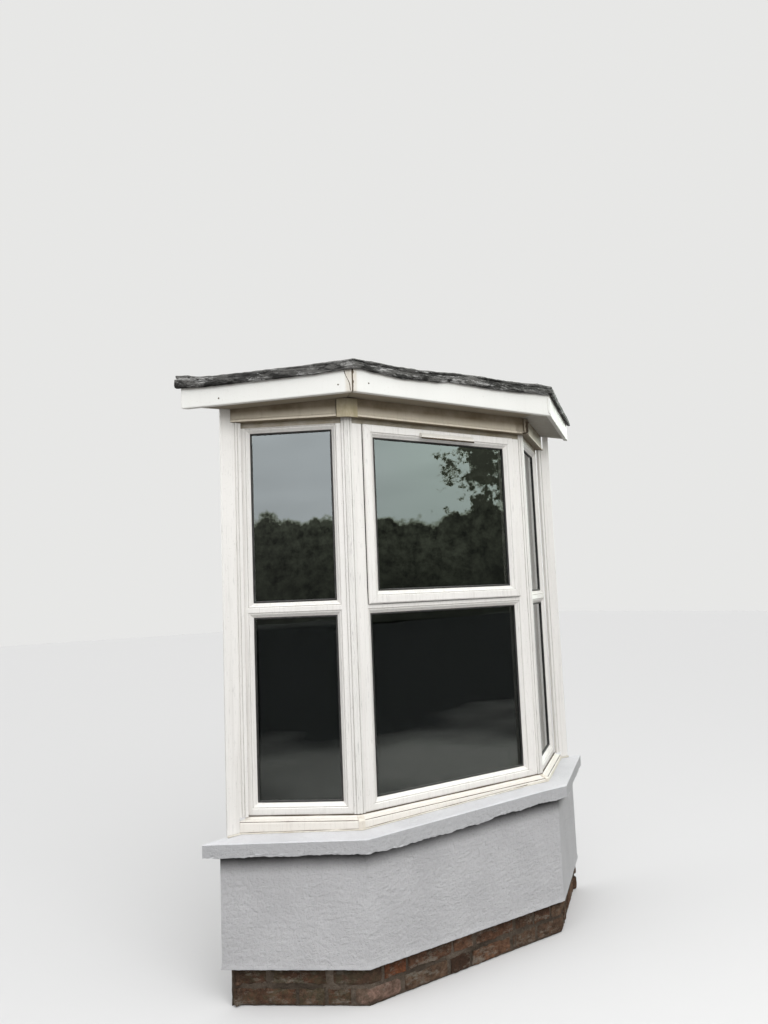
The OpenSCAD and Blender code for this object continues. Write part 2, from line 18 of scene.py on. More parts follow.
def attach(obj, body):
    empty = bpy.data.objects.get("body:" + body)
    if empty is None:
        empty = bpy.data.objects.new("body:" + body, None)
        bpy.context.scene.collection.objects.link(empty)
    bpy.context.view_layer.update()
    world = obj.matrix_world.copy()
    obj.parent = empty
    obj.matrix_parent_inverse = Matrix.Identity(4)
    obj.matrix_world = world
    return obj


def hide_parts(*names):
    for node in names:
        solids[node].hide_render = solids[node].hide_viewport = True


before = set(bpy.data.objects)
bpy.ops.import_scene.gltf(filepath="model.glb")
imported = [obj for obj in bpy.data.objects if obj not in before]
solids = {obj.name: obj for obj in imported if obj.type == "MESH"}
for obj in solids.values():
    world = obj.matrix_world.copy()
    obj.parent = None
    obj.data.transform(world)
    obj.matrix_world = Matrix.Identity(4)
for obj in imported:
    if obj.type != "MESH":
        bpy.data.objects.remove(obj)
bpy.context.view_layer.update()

# %% [markdown]
# ## Plan of the bay
# Every line of a canted bay runs parallel to the frame line: the nose of the sill, the
# fascia and the foot of the wall are that line moved outwards. So one function gives the
# four corners of any such line from its offset, and nothing has to be placed by eye. The old
# dwarf wall has settled a little on the left, and another function says how much. All
# lengths are in metres.

# %% Plan of the bay
FRONT_HALF = 0.485
FRAME_PROJ = 0.272
CANT = math.radians(37.5)
MITRE = math.tan(CANT / 2)
FACET_LEN = FRAME_PROJ / math.sin(CANT)
BRICK_OUT = 0.056
RENDER_OUT = 0.072
NOSE_OUT = 0.116
FASCIA_OUT = 0.151
RENDER_Z = 0.140
SILL_Z = 0.580
CILL_Z = 0.639
FRAME_Z = 0.683
HEAD_Z = 2.287
FASCIA_Z = 2.331
EAVE_Z = 2.431
SLOPE = math.tan(math.radians(12))
SILL_TILT = 0.024
SILL_UP_AT_MIDDLE = 0.004
SILL_UP_AT_MOST = 0.013


def wall_half(offset):
    """Half the width of such a line where it meets the house wall."""
    return FRONT_HALF + offset * MITRE + (FRAME_PROJ + offset) / math.tan(CANT)


def plan_line(offset):
    """The four corners of the bay's outline, moved outwards by an offset."""
    half = FRONT_HALF + offset * MITRE
    proj = FRAME_PROJ + offset
    at_wall = wall_half(offset)
    corners = ((-at_wall, 0), (-half, -proj), (half, -proj), (at_wall, 0))
    return [Vector((x, y, 0)) for x, y in corners]


def facet_place(side, along, out, z):
    """A point on a facet: along it, out from the frame line, and up."""
    if side == "front":
        return Vector((along, -FRAME_PROJ - out, z))
    turn = Matrix.Rotation(-CANT, 3, "Z")
    point = Vector((-FRONT_HALF, -FRAME_PROJ, 0)) + turn @ Vector((along, -out, 0))
    if side == "right":
        point.x = -point.x
    point.z = z
    return point


def settled(x):
    """How far the old sill has gone down on the left, or up on the right, at this x."""
    return min(SILL_UP_AT_MOST, SILL_UP_AT_MIDDLE + SILL_TILT * x)


print("fascia corners", [tuple(round(v, 3) for v in p) for p in plan_line(FASCIA_OUT)])

# %% [markdown]
# ## Camera
# The photograph was taken from the left, about level with the middle of the window, with the
# lens tilted up. The place, turn and lens below come from lining up the corners of the bay.
# The three turns are put together as a matrix, which keeps their order plain to see.

# %% Camera
CAMERA_AT = (-2.031, -2.927, 1.546)
YAW, PITCH, ROLL = (math.radians(turn) for turn in (32.83, 5.93, -2.31))
LENS_MM = 26.65
SENSOR_MM = 36
ahead = Vector(
    (math.sin(YAW) * math.cos(PITCH), math.cos(YAW) * math.cos(PITCH), math.sin(PITCH))
)
level = Vector((math.cos(YAW), -math.sin(YAW), 0))
above = level.cross(ahead)
right_way = level * math.cos(ROLL) + above * math.sin(ROLL)
up_way = above * math.cos(ROLL) - level * math.sin(ROLL)
camera = bpy.data.objects.new("camera", bpy.data.cameras.new("camera"))
camera.data.lens = LENS_MM
camera.data.sensor_width = SENSOR_MM
turned = Matrix((right_way, up_way, -ahead)).transposed().to_4x4()
camera.matrix_world = Matrix.Translation(CAMERA_AT) @ turned
bpy.context.scene.collection.objects.link(camera)
bpy.context.scene.camera = camera
print("camera at", CAMERA_AT, "lens", LENS_MM)

# %% [markdown]
# ## Wiring nodes
# Materials, light and Geometry Nodes are all trees of nodes. One small function makes a node
# and fills its sockets. What flows out of a node is held as a Wire, and a sum written with
# wires makes the Math nodes for it, so that a recipe reads like plain arithmetic.


# %% Wiring nodes
class Wire:
    """What flows out of a node: a number, colour, place or shape that other nodes can take."""

    def __init__(self, tree, socket):
        self.tree = tree
        self.socket = socket

    def maths(self, operation, first, second):
        """One Math node on two numbers or wires."""
        return wire(self.tree, "ShaderNodeMath", {0: first, 1: second}, operation=operation)

    def __add__(self, other):
        return self.maths("ADD", self, other)

    def __sub__(self, other):
        return self.maths("SUBTRACT", self, other)

    def __rsub__(self, other):
        return self.maths("SUBTRACT", other, self)

    def __mul__(self, other):
        return self.maths("MULTIPLY", self, other)

    def __truediv__(self, other):
        return self.maths("DIVIDE", self, other)

    def __pow__(self, other):
        return self.maths("POWER", self, other)

    def __gt__(self, other):
        return self.maths("GREATER_THAN", self, other)

    def __lt__(self, other):
        return self.maths("LESS_THAN", self, other)

    def __abs__(self):
        return self.maths("ABSOLUTE", self, 0.0)

    __radd__ = __add__

    def or_more(self, other):
        return self.maths("MAXIMUM", self, other)

    def at_most(self, other):
        return self.maths("MINIMUM", self, other)

    def spread(self, low, high, to_low=0.0, to_high=1.0):
        """The range from low to high turned into another range, and held inside it."""
        ends = {"From Min": low, "From Max": high, "To Min": to_low, "To Max": to_high}
        return wire(self.tree, "ShaderNodeMapRange", {"Value": self, **ends})


def fill(socket, value):
    """Joins a wire to a socket, or sets the socket's own value."""
    if isinstance(value, Wire):
        value.tree.links.new(value.socket, socket)
    else:
        socket.default_value = value


def node(tree, kind, inputs=None, **settings):
    """A new node. Its inputs are given by name or number, as values or as wires."""
    made = tree.nodes.new(kind)
    for key, value in settings.items():
        setattr(made, key, value)
    for key, value in (inputs or {}).items():
        fill(made.inputs[key], value)
    return made


def wire(tree, kind, inputs=None, output=0, **settings):
    """A new node, given back as the wire from one of its outputs."""
    return Wire(tree, node(tree, kind, inputs, **settings).outputs[output])


def axes(tree, vector):
    """The X, Y and Z of a place or a direction, as three wires."""
    outputs = node(tree, "ShaderNodeSeparateXYZ", {0: vector}).outputs
    return [Wire(tree, output) for output in outputs]


def cloudy(tree, where, scale, detail=2.0, rough=0.5, seed=None):
    """Noise round about a half. More detail and roughness give it finer edges."""
    inputs = {"Vector": where, "Scale": scale, "Detail": detail, "Roughness": rough}
    if seed is None:
        return wire(tree, "ShaderNodeTexNoise", inputs, "Fac")
    inputs["W"] = seed
    return wire(tree, "ShaderNodeTexNoise", inputs, "Fac", noise_dimensions="4D")


def blend(tree, amount, first, second):
    """A mix of two colours: the first where the amount is 0, the second where it is 1."""
    inputs = {0: amount}
    for number, colour in ((6, first), (7, second)):
        inputs[number] = colour if isinstance(colour, Wire) else (*colour, 1)
    return wire(tree, "ShaderNodeMix", inputs, 2, data_type="RGBA")


print("wires can be summed")

# %% [markdown]
# ## Floor and light
# The bay stands on a plain pale floor under an even, cloudy studio sky. A sky that is
# brighter overhead draws the soft shadows under the eaves and the sill, and one wide lamp in
# front, not much higher than the roof, keeps them light. Glass shows what it reflects, so the
# sky has a dark band low down, as when black flags stand round a set: it puts the dark and
# light halves into the panes, and a flecked patch breaks up the light on the right. The floor
# is dimmed in a shine, and behind the glass it fades with distance, as a dim room does. The
# camera itself sees a plain backdrop.

# %% Floor and light
BACKDROP = (0.80, 0.80, 0.79, 1)
FLOOR_GREY = 0.60
FLOOR_HALF = 30
LAMP_AT = Vector((-0.9, -3.9, 3.5))
LAMP_AIM = Vector((0, -0.3, 1.3))
LAMP_SIZE = 2.6
LAMP_POWER = 78


def ray_kinds(tree):
    """Wires that are 1 for rays from the camera, a shine, a matt face and through glass."""
    outputs = node(tree, "ShaderNodeLightPath").outputs
    kinds = ("Camera", "Glossy", "Diffuse", "Transmission")
    return [Wire(tree, outputs[f"Is {kind} Ray"]) for kind in kinds]


def make_floor():
    corners = [(x * FLOOR_HALF, y * FLOOR_HALF, 0) for x, y in ((-1, -1), (1, -1), (1, 1), (-1, 1))]
    mesh = bpy.data.meshes.new("studio_floor")
    mesh.from_pydata(corners, [], [(0, 1, 2, 3)])
    floor = bpy.data.objects.new("studio_floor", mesh)
    bpy.context.scene.collection.objects.link(floor)
    paint = bpy.data.materials.new("studio_floor_paint")
    paint.use_nodes = True
    tree = paint.node_tree
    from_camera, from_shine, from_matt, through_glass = ray_kinds(tree)
    metres = wire(tree, "ShaderNodeTexCoord", output="Object")
    away = axes(tree, metres)[1] + cloudy(tree, metres, 0.5).spread(0.3, 0.7, -1.5, 1.5)
    bright = 1.0 - from_shine * 0.975 - from_matt * 0.25 + from_camera * 0.16
    bright = bright + through_glass * away.spread(2.0, 6.5, 1.3, -0.93)
    sockets = tree.nodes["Principled BSDF"].inputs
    fill(sockets["Base Color"], (bright * FLOOR_GREY).spread(0, 1))
    sockets["Roughness"].default_value = 0.9
    sockets["Specular IOR Level"].default_value = 0.0
    mesh.materials.append(paint)


def make_sky():
    world = bpy.data.worlds.new("studio_sky")
    world.use_nodes = True
    tree = world.node_tree
    tree.nodes.clear()
    from_camera, from_shine, _, through_glass = ray_kinds(tree)
    where = wire(tree, "ShaderNodeTexCoord", output="Generated")
    x, y, z = axes(tree, where)

    # The dark band and its lumpy upper edge
    lumps = cloudy(tree, where, 9.0, 9.0, 0.6)
    over = z - lumps.spread(0.3, 0.7, 0.06, 0.13)
    mottle = cloudy(tree, where, 75.0, 8.0, 0.75).spread(0.38, 0.62, 0.006, 0.055)
    band = mottle * over.spread(-0.14, 0.0, 0.35, 2.3)

    # The flecked patch on the right
    bearing = x / abs(y) + lumps * 0.25
    in_patch = (bearing - z * 0.25).spread(0.76, 0.92, -0.24, 0.0)
    flecks = cloudy(tree, where, 34.0, 9.0, 0.75)
    flecked = (flecks + in_patch).spread(0.440, 0.485, 0.0, 0.94)
    patch = flecked * y.spread(0.0, -0.2) * z.spread(0.62, 0.5)
    clear = over.spread(0.0, 0.008, band, 1.0) * (1.0 - patch)
    clear = clear.or_more(band * 0.8)

    # How bright it is in front and behind, and how much of that each ray sees
    behind = (y + x * 0.3).spread(-0.05, 0.35)
    front_light = clear * z.spread(0.05, 0.85, 0.80, 1.75) * (1.0 - behind)
    uneven = cloudy(tree, where, 5.0, 3.0).spread(0.35, 0.65, 0.40, 0.75)
    room_light = behind * uneven * (from_shine + 1.0)
    flat = wire(tree, "ShaderNodeMapping", {"Vector": where, "Scale": (2.2, 2.2, 11.0)})
    clouds = cloudy(tree, flat, 1.0, 4.0).spread(0.3, 0.7, 1.2, 2.3)
    strength = (front_light + room_light) * (1.0 - through_glass * 0.97)
    strength = strength * (from_shine * clouds + 1.0)

    # The band is olive, and the sky in the front panes a little greener than in the left ones
    greener = blend(tree, from_shine * bearing.spread(0.45, 0.85), (1, 1, 1), (0.93, 1.02, 0.93))
    tint = blend(tree, clear.or_more(behind), (0.95, 1.0, 0.66), greener)
    lit = wire(tree, "ShaderNodeBackground", {"Color": tint, "Strength": strength})
    plain = wire(tree, "ShaderNodeBackground", {"Color": BACKDROP, "Strength": 1.0})
    both = wire(tree, "ShaderNodeMixShader", {0: from_camera, 1: lit, 2: plain})
    node(tree, "ShaderNodeOutputWorld", {"Surface": both})
    bpy.context.scene.world = world


def make_lamp():
    lamp = bpy.data.lights.new("front_light", "AREA")
    lamp.size = LAMP_SIZE
    lamp.energy = LAMP_POWER
    made = bpy.data.objects.new("front_light", lamp)
    made.location = LAMP_AT
    made.visible_glossy = False
    made.rotation_euler = (LAMP_AIM - LAMP_AT).to_track_quat("-Z", "Y").to_euler()
    bpy.context.scene.collection.objects.link(made)


make_floor()
make_sky()
make_lamp()
bpy.context.scene.view_settings.view_transform = "Standard"
bpy.context.scene.cycles.use_denoising = True
print("floor, sky and one lamp")

# %% [markdown]
# ## Finishes
# Each finish is built from the same few parts: a colour that drifts slowly, grime and painted
# shade where faces meet, a roughness that follows it, and fine bumps. Patterns use the Object
# coordinates, which are plain metres here, so a grain of 2 mm stays 2 mm everywhere.


# %% Finishes
def darker(colour, share):
    return [part * share for part in colour]


class Finish:
    """One material in the making: its colour so far, and short ways to work it."""

    def __init__(self, name, colour):
        self.material = bpy.data.materials.new(name)
        self.material.use_nodes = True
        self.tree = self.material.node_tree
        self.shader = self.tree.nodes["Principled BSDF"]
        self.colour = colour
        self.metres = wire(self.tree, "ShaderNodeTexCoord", output="Object")
        self.x, _, self.z = axes(self.tree, self.metres)
        self.up = axes(self.tree, wire(self.tree, "ShaderNodeNewGeometry", output="Normal"))[2]

    def noise(self, scale, detail=4.0, rough=0.55, stretch=None, low=0.35, high=0.65):
        """Clouds from 0 to 1, stretched along the axes if asked. Low and high set how hard
        their edges are."""
        where = self.metres
        if stretch:
            where = wire(self.tree, "ShaderNodeMapping", {"Vector": where, "Scale": stretch})
        return cloudy(self.tree, where, scale, detail, rough).spread(low, high)

    def corner_dirt_and_shade(self, reach, harder=1.0):
        """1 deep in a corner or groove and 0 on open faces. It lays grime and painted shade where
        faces meet.
        """
        inputs = {"Distance": reach}
        lit = wire(self.tree, "ShaderNodeAmbientOcclusion", inputs, "AO", samples=8)
        return (1.0 - lit) ** harder

    def stain(self, amount, paint):
        """Lays a paint over the colour so far."""
        self.colour = blend(self.tree, amount, self.colour, paint)

    def set(self, **values):
        """Gives the shader its colour and these values; an underscore stands for a space."""
        for key, value in {"Base_Color": self.colour, **values}.items():
            fill(self.shader.inputs[key.replace("_", " ")], value)

    def bumps(self, *layers, round_edges=0.0):
        """Bump layers, each a height from 0 to 1 and its depth in metres."""
        inputs = {"Strength": 1.0}
        if round_edges:
            bevel = {"Radius": round_edges}
            inputs["Normal"] = wire(self.tree, "ShaderNodeBevel", bevel, samples=4)
        for height, depth in layers:
            inputs.update({"Height": height, "Distance": depth})
            inputs["Normal"] = wire(self.tree, "ShaderNodeBump", inputs)
        fill(self.shader.inputs["Normal"], inputs["Normal"])


def plastic(
    name, clean, grime, reach=0.010, streaky=0.16, rough=0.32, shade_and_dirt_band=None, stains_and_lit_patches=(), below=0.7,
    flecky=0.0, gloss=0.5,
):
    """White extruded plastic: faint streaks, grime and painted shade in the grooves, softly rounded
    edges. shade_and_dirt_band is (from height, to height, share): a band darkened towards the
    grime colour there, painted shade under the ledge above with some dirt. stains_and_lit_patches
    are patches along the front, each (from x, to x, colour, share): stains, and one painted lit
    patch on the soffit. below is how dark the undersides are made, painted shade with some dirt,
    and flecky how strong the short upright flecks are."""
    f = Finish(name, clean)
    f.stain(f.noise(1.7, 3.0), darker(clean, 0.94))
    # Grime and painted shade in the grooves and corners.
    groove = f.corner_dirt_and_shade(reach, 1.6)
    patchy = f.noise(14, 5.0, 0.6, low=0.3, high=0.7)
    f.stain(groove * patchy.spread(0, 1, 0.5, 1.3) * 0.95, grime)
    f.stain(f.noise(1.0, 6.0, 0.6, (70, 70, 2.2), 0.5, 0.78) * streaky, grime)
    f.stain(f.noise(160, 2.0, 0.5, low=0.66, high=0.74) * 0.18, grime)
    if flecky:
        dashes = f.noise(1.0, 4.0, 0.65, (210, 210, 14), 0.60, 0.66)
        f.stain(dashes * flecky, (0.34, 0.33, 0.32))
    # Patches of stain, and on the soffit a painted lit patch.
    for low, high, paint, share in stains_and_lit_patches:
        within = f.x.spread(low - 0.008, low) * f.x.spread(high + 0.008, high)
        cloud = f.noise(38, 5.0, 0.65, (1, 1, 0.35), 0.3, 0.62)
        f.stain(within * cloud.spread(0, 1, share * 0.35, share), paint)
    # A band darkened between two heights: painted shade under the ledge above, with some dirt.
    if shade_and_dirt_band:
        low, high, share = shade_and_dirt_band
        f.stain(f.z.spread(low, high) * share * patchy.spread(0, 1, 0.8, 1.0), grime)
    # Undersides darkened: painted shade, with some dirt.
    f.stain(f.up.spread(-0.25, -0.7) * below, grime)
    f.set(Roughness=groove.spread(0, 1, rough, 0.75), Specular_IOR_Level=gloss)
    f.bumps((f.noise(9, 2.0), 0.0004), (f.noise(600, 2.0), 0.00002), round_edges=0.0012)
    return f.material


# The thin band just under the head boards' lip is painted dark: painted shade under the lip, with
# some dirt.
frame_plastic = plastic(
    "frame_plastic_finish", (0.82, 0.80, 0.77), (0.165, 0.130, 0.072), reach=0.008,
    shade_and_dirt_band=(2.239, 2.243, 0.98), below=0.12, flecky=0.35,
)
# Trims and posts are painted darker towards their tops: painted shade under the head boards, with
# some dirt.
trim_plastic = plastic(
    "trim_finish", (0.82, 0.80, 0.77), (0.15, 0.125, 0.080), streaky=0.20,
    shade_and_dirt_band=(2.20, HEAD_Z + 0.03, 0.35), below=0.12, flecky=0.30,
)
post_plastic = plastic(
    "post_finish", (0.80, 0.785, 0.755), (0.13, 0.10, 0.07), reach=0.012, streaky=0.22,
    shade_and_dirt_band=(2.20, HEAD_Z + 0.01, 0.6), below=0.2, flecky=0.6,
)
# The hood's undersides are painted nearly black: painted shadow under the hood.
vent_plastic = plastic(
    "ventilator_finish", (0.84, 0.81, 0.745), (0.10, 0.075, 0.05), reach=0.006, streaky=0.05,
    rough=0.3, below=0.95,
)
# Cill and caps keep the default darkened undersides: painted shade, with some dirt.
cill_plastic = plastic(
    "cill_plastic_finish", (0.79, 0.755, 0.70), (0.28, 0.18, 0.10), reach=0.007, streaky=0.12,
    rough=0.4, flecky=0.25,
)
cap_plastic = plastic(
    "cill_cap_finish", (0.70, 0.65, 0.575), (0.22, 0.14, 0.075), reach=0.012, streaky=0.5,
    rough=0.45, flecky=0.3,
)
# Its undersides are painted darker: painted shade, with some dirt.
fascia_board = plastic(
    "fascia_finish", (0.795, 0.795, 0.765), (0.36, 0.30, 0.23), reach=0.012, streaky=0.04,
    rough=0.35, below=0.3, gloss=0.2,
    stains_and_lit_patches=((-0.556, -0.522, (0.50, 0.42, 0.31), 0.55), (0.548, 1.20, (0.48, 0.46, 0.42), 0.6)),
)
# Its top is painted darker towards the soffit, and the lip's underside dark: painted shade under
# the eaves, with some dirt.
head_board = plastic(
    "head_board_finish", (0.80, 0.73, 0.60), (0.145, 0.105, 0.058), reach=0.03, streaky=0.2,
    rough=0.5, shade_and_dirt_band=(HEAD_Z - 0.022, HEAD_Z + 0.022, 0.97), below=0.92,
    stains_and_lit_patches=((0.43, 0.475, (0.10, 0.07, 0.045), 0.5),),
)
# Its top is painted darker under the soffit: painted shade, with some dirt.
head_cover = plastic(
    "head_cover_finish", (0.66, 0.58, 0.46), (0.13, 0.10, 0.06), reach=0.02, streaky=0.6,
    rough=0.5, shade_and_dirt_band=(HEAD_Z, HEAD_Z + 0.045, 0.55),
    stains_and_lit_patches=((-0.60, -0.40, (0.30, 0.255, 0.12), 0.7), (0.40, 0.60, (0.10, 0.075, 0.05), 0.85)),
)
# The dark base colour is partly painted shade under the eaves, and the lighter patch from x = 0.47
# rightwards is painted light on the right-hand soffit.
soffit_board = plastic(
    "soffit_finish", (0.30, 0.255, 0.19), (0.10, 0.08, 0.05), reach=0.03, streaky=0.05,
    rough=0.55, below=0.2, stains_and_lit_patches=((0.47, 1.30, (0.405, 0.39, 0.35), 0.85),),
)
print("plastic finishes made")

# %% [markdown]
# ## Stone-like finishes
# Render, concrete, plaster, brick and mortar are all gritty. They share a recipe: two sizes
# of stain, a grain with its own bump, grime and painted shade in the corners, a painted shadow
# under a ledge, and painted shade on upright faces. A fired brick has more colours, so it gets a
# recipe of its own.


# %% Stone-like finishes
def gritty(
    name, light, dark, grain=420, depth=0.0006, rough=0.9, stain=(0.12, 0.10, 0.08),
    shade_and_dirt_band=None, nose=None, gloss=0.5,
):
    """shade_and_dirt_band is the dark zone under a ledge, painted shadow with some soot, as (from
    height, to height, share), which follows the tilt of the old sill. nose is the colour that
    upright faces are darkened to: painted shade beside the lighter top."""
    f = Finish(name, light)
    broad = f.noise(5.5, 6.0, 0.6)
    fine = f.noise(60, 5.0, 0.6)
    crumbs = f.noise(grain, 3.0, 0.6, low=0.3, high=0.7)
    f.stain(broad, dark)
    f.stain(fine * 0.35, dark)
    f.stain(crumbs * 0.22, darker(dark, 0.62))
    # Upright faces are painted darker than the top: painted shade.
    if nose:
        f.stain(f.up.spread(0.15, 0.6, 1.0, 0.0), nose)
    # Painted shadow under a ledge, with some soot, following the tilt of the sill.
    if shade_and_dirt_band:
        low, high, share = shade_and_dirt_band
        ends = (SILL_UP_AT_MIDDLE - SILL_TILT, SILL_UP_AT_MIDDLE + SILL_TILT)
        up = f.x.spread(-1, 1, *ends).at_most(SILL_UP_AT_MOST)
        soot = (f.z - up).spread(low, high) ** 1.3
        f.stain(soot * broad.spread(0, 1, share * 0.9, share), stain)
    # Grime and painted shade in the corners.
    f.stain(f.corner_dirt_and_shade(0.03, 1.4) * 0.55, stain)
    f.set(Roughness=rough, Specular_IOR_Level=gloss)
    strokes = f.noise(13, 5.0, 0.6, (1, 1, 4.5))
    pits = f.noise(95, 2.0, 0.5, low=0.66, high=0.72)
    layers = ((strokes, 0.9), (fine, 2.4), (crumbs, 1.3), (pits, -1.4))
    f.bumps(*((height, depth * share) for height, share in layers))
    return f.material


# The near-black band just under the sill is painted shadow under the nose, with some soot.
render_paint = gritty(
    "render_paint", (0.570, 0.567, 0.577), (0.505, 0.502, 0.513), grain=300, depth=0.0011,
    rough=0.85, stain=(0.02, 0.019, 0.018), shade_and_dirt_band=(SILL_Z - 0.080, SILL_Z - 0.020, 0.97),
)
# Its upright nose is painted darker than its top: painted shade.
sill_paint = gritty(
    "sill_paint", (0.72, 0.72, 0.74), (0.62, 0.62, 0.64), grain=300, depth=0.0007, rough=0.7,
    stain=(0.12, 0.115, 0.11), nose=(0.42, 0.42, 0.43),
)
plaster_white = gritty(
    "plaster_finish", (0.66, 0.64, 0.60), (0.58, 0.56, 0.52), grain=500, depth=0.0002, rough=0.85
)
mortar = gritty(
    "mortar_finish", (0.23, 0.185, 0.145), (0.060, 0.045, 0.033), grain=200, depth=0.0030,
    rough=0.95, gloss=0.1,
)
grime_paint = gritty(
    "grime_finish", (0.13, 0.095, 0.06), (0.04, 0.030, 0.020), grain=200, depth=0.0002
)
caulk = gritty(
    "caulk_finish", (0.78, 0.76, 0.70), (0.55, 0.50, 0.42), grain=90, depth=0.0003, rough=0.5
)

BRICK_TONES = {
    0.0: (0.090, 0.049, 0.032),
    0.3: (0.22, 0.110, 0.066),
    0.55: (0.16, 0.096, 0.064),
    0.8: (0.26, 0.165, 0.108),
    0.9: (0.32, 0.11, 0.050),
    1.0: (0.42, 0.27, 0.21),
}


def fired_brick():
    """Each brick carries its own tone as an attribute, and the ramp turns it into a colour:
    burnt and brown ones first, then a fresh red one and the sandy one at the corner."""
    f = Finish("brick_finish", None)
    tone = wire(f.tree, "ShaderNodeAttribute", output="Fac", attribute_name="tone")
    ramp = node(f.tree, "ShaderNodeValToRGB", {"Fac": tone})
    stops = ramp.color_ramp.elements
    for place, colour in BRICK_TONES.items():
        there = [stop for stop in stops if stop.position == place]
        stop = there[0] if there else stops.new(place)
        stop.color = (*colour, 1)
    f.colour = Wire(f.tree, ramp.outputs["Color"])
    f.stain(f.noise(34, 8.0, 0.75, low=0.36, high=0.60) * 0.75, (0.045, 0.030, 0.021))
    smear = f.noise(15, 9.0, 0.8, (0.7, 0.7, 1.6), 0.51, 0.61)
    f.stain(smear * 0.75, (0.30, 0.27, 0.22))
    algae = f.x.spread(-0.35, -0.60) * f.noise(22, 7.0, 0.7, low=0.47, high=0.56)
    f.stain(algae * 0.5, (0.085, 0.085, 0.050))
    # Just under the render the bricks are painted darker: painted shadow under the coat's drip,
    # with some dampness.
    damp_and_shadow = f.z.spread(RENDER_Z - 0.045, RENDER_Z) * f.noise(18, 6.0, 0.7, low=0.3, high=0.55)
    f.stain(damp_and_shadow * 0.85, (0.018, 0.014, 0.010))
    pits = f.noise(330, 3.0, 0.6, low=0.3, high=0.7)
    f.stain(pits * 0.25, (0.05, 0.035, 0.028))
    # Grime and painted shade in the corners.
    f.stain(f.corner_dirt_and_shade(0.02, 1.3) * 0.6, (0.05, 0.04, 0.03))
    f.set(Roughness=0.92, Specular_IOR_Level=0.1)
    f.bumps((f.noise(45, 7.0, 0.65), 0.008), (pits, 0.0016))
    return f.material


brick_clay = fired_brick()
print("render, sill, plaster, mortar, caulk and brick finishes made")

# %% [markdown]
# ## Lead, glass, rubber and timber
# Old lead is dark with pale and black streaks that run down its slope. The panes look dark
# because a room is dim behind them, so the glass itself is tinted here and its shine comes
# from the sky. Timber gets its grain by stretching noise along the board.


# %% Lead, glass, rubber and timber
def old_lead():
    f = Finish("lead_finish", (0.046, 0.045, 0.043))
    cloud = f.noise(7, 7.0, 0.7, low=0.3, high=0.7)
    upright = f.up.spread(0.15, 0.6, 1.0, 0.25)
    bloom = f.noise(18, 9.0, 0.8, (0.5, 0.5, 3.0), 0.505, 0.60)
    soot = f.noise(16, 8.0, 0.75, (0.6, 0.6, 2.6), 0.49, 0.55)
    tarry = f.noise(21, 6.0, 0.7, (0.7, 0.7, 1.8), 0.47, 0.53)
    on_left = f.x.spread(-0.62, -0.85, 0.0, 0.9)
    f.stain(cloud, (0.125, 0.122, 0.115))
    f.stain(bloom * upright * 0.95, (0.46, 0.46, 0.45))
    f.stain(soot * upright * 0.93, (0.008, 0.0075, 0.007))
    f.stain(tarry * on_left * upright, (0.006, 0.0055, 0.005))
    # Hollows and folds are painted near black: painted shade, with some dirt.
    f.stain(f.corner_dirt_and_shade(0.03) * 0.9, (0.008, 0.007, 0.006))
    f.set(Roughness=0.6, Specular_IOR_Level=0.15)
    f.bumps((cloud, 0.003), (f.noise(90, 5.0), 0.0008))
    return f.material


def dim_glass():
    f = Finish("glass_finish", (0.100, 0.106, 0.098, 1))
    f.set(
        Transmission_Weight=1.0,
        IOR=2.1,
        Roughness=0.0,
        Specular_IOR_Level=1.0,
        Specular_Tint=(0.88, 0.97, 1.0, 1),
    )
    f.bumps((f.noise(3.0, 1.0, 0.5, (1, 1, 0.5)), 0.00025))
    return f.material


def seal_rubber():
    f = Finish("seal_rubber_finish", (0.010, 0.010, 0.010))
    f.stain(f.noise(40, 4.0), (0.030, 0.028, 0.026))
    f.set(Roughness=0.6)
    f.bumps((f.noise(300, 3.0), 0.0002))
    return f.material


def sawn_timber(name, light, dark, rough, grain_depth):
    f = Finish(name, light)
    grain = f.noise(1.4, 7.0, 0.65, (2.5, 40, 40))
    f.stain(grain, dark)
    f.stain(f.noise(6, 4.0) * 0.3, darker(dark, 0.7))
    # Grime and painted shade in the corners.
    f.stain(f.corner_dirt_and_shade(0.02) * 0.4, (0.05, 0.04, 0.03))
    f.set(Roughness=rough)
    f.bumps((grain, grain_depth), round_edges=0.0015)
    return f.material


lead_grey = old_lead()
pane_glass = dim_glass()
rubber = seal_rubber()
timber = sawn_timber("timber_finish", (0.46, 0.31, 0.17), (0.30, 0.18, 0.09), 0.8, 0.0008)
board_paint = sawn_timber("board_paint", (0.72, 0.71, 0.68), (0.66, 0.65, 0.62), 0.45, 0.0001)
print("lead, glass, rubber and timber finishes made")

# %% [markdown]
# ## Dressing the solids
# A solid whose form is right only needs its material. The table names the finish by the
# start of the solid's name, so that left, front and right pieces of a kind match.

# %% Dressing the solids
FINISH_OF = {
    "render": render_paint,
    "brick_wall": mortar,
    "inner_plaster": plaster_white,
    "concrete_sill": sill_paint,
    "cill": cill_plastic,
    "cill_corner_caps": cap_plastic,
    "frame": frame_plastic,
    "glazing_beads": frame_plastic,
    "upper_glass": pane_glass,
    "lower_glass": pane_glass,
    "opening_sash": frame_plastic,
    "sash_handle": frame_plastic,
    "trickle_vent": vent_plastic,
    "corner_post": post_plastic,
    "side_trim": trim_plastic,
    "head_board": head_board,
    "head_corner_covers": head_cover,
    "soffit_boards": soffit_board,
    "fascia": fascia_board,
    "window_board": board_paint,
    "ceiling_board": board_paint,
    "roof_plate": timber,
    "wall_bearer": timber,
    "rafters": timber,
    "roof_deck": timber,
    "lead": lead_grey,
}


def finish_of(name):
    starts = [start for start in FINISH_OF if name.startswith(start)]
    return FINISH_OF[max(starts, key=len)]


for name, solid in solids.items():
    solid.data.materials.clear()
    solid.data.materials.append(finish_of(name))
print("dressed", len(solids), "solids")

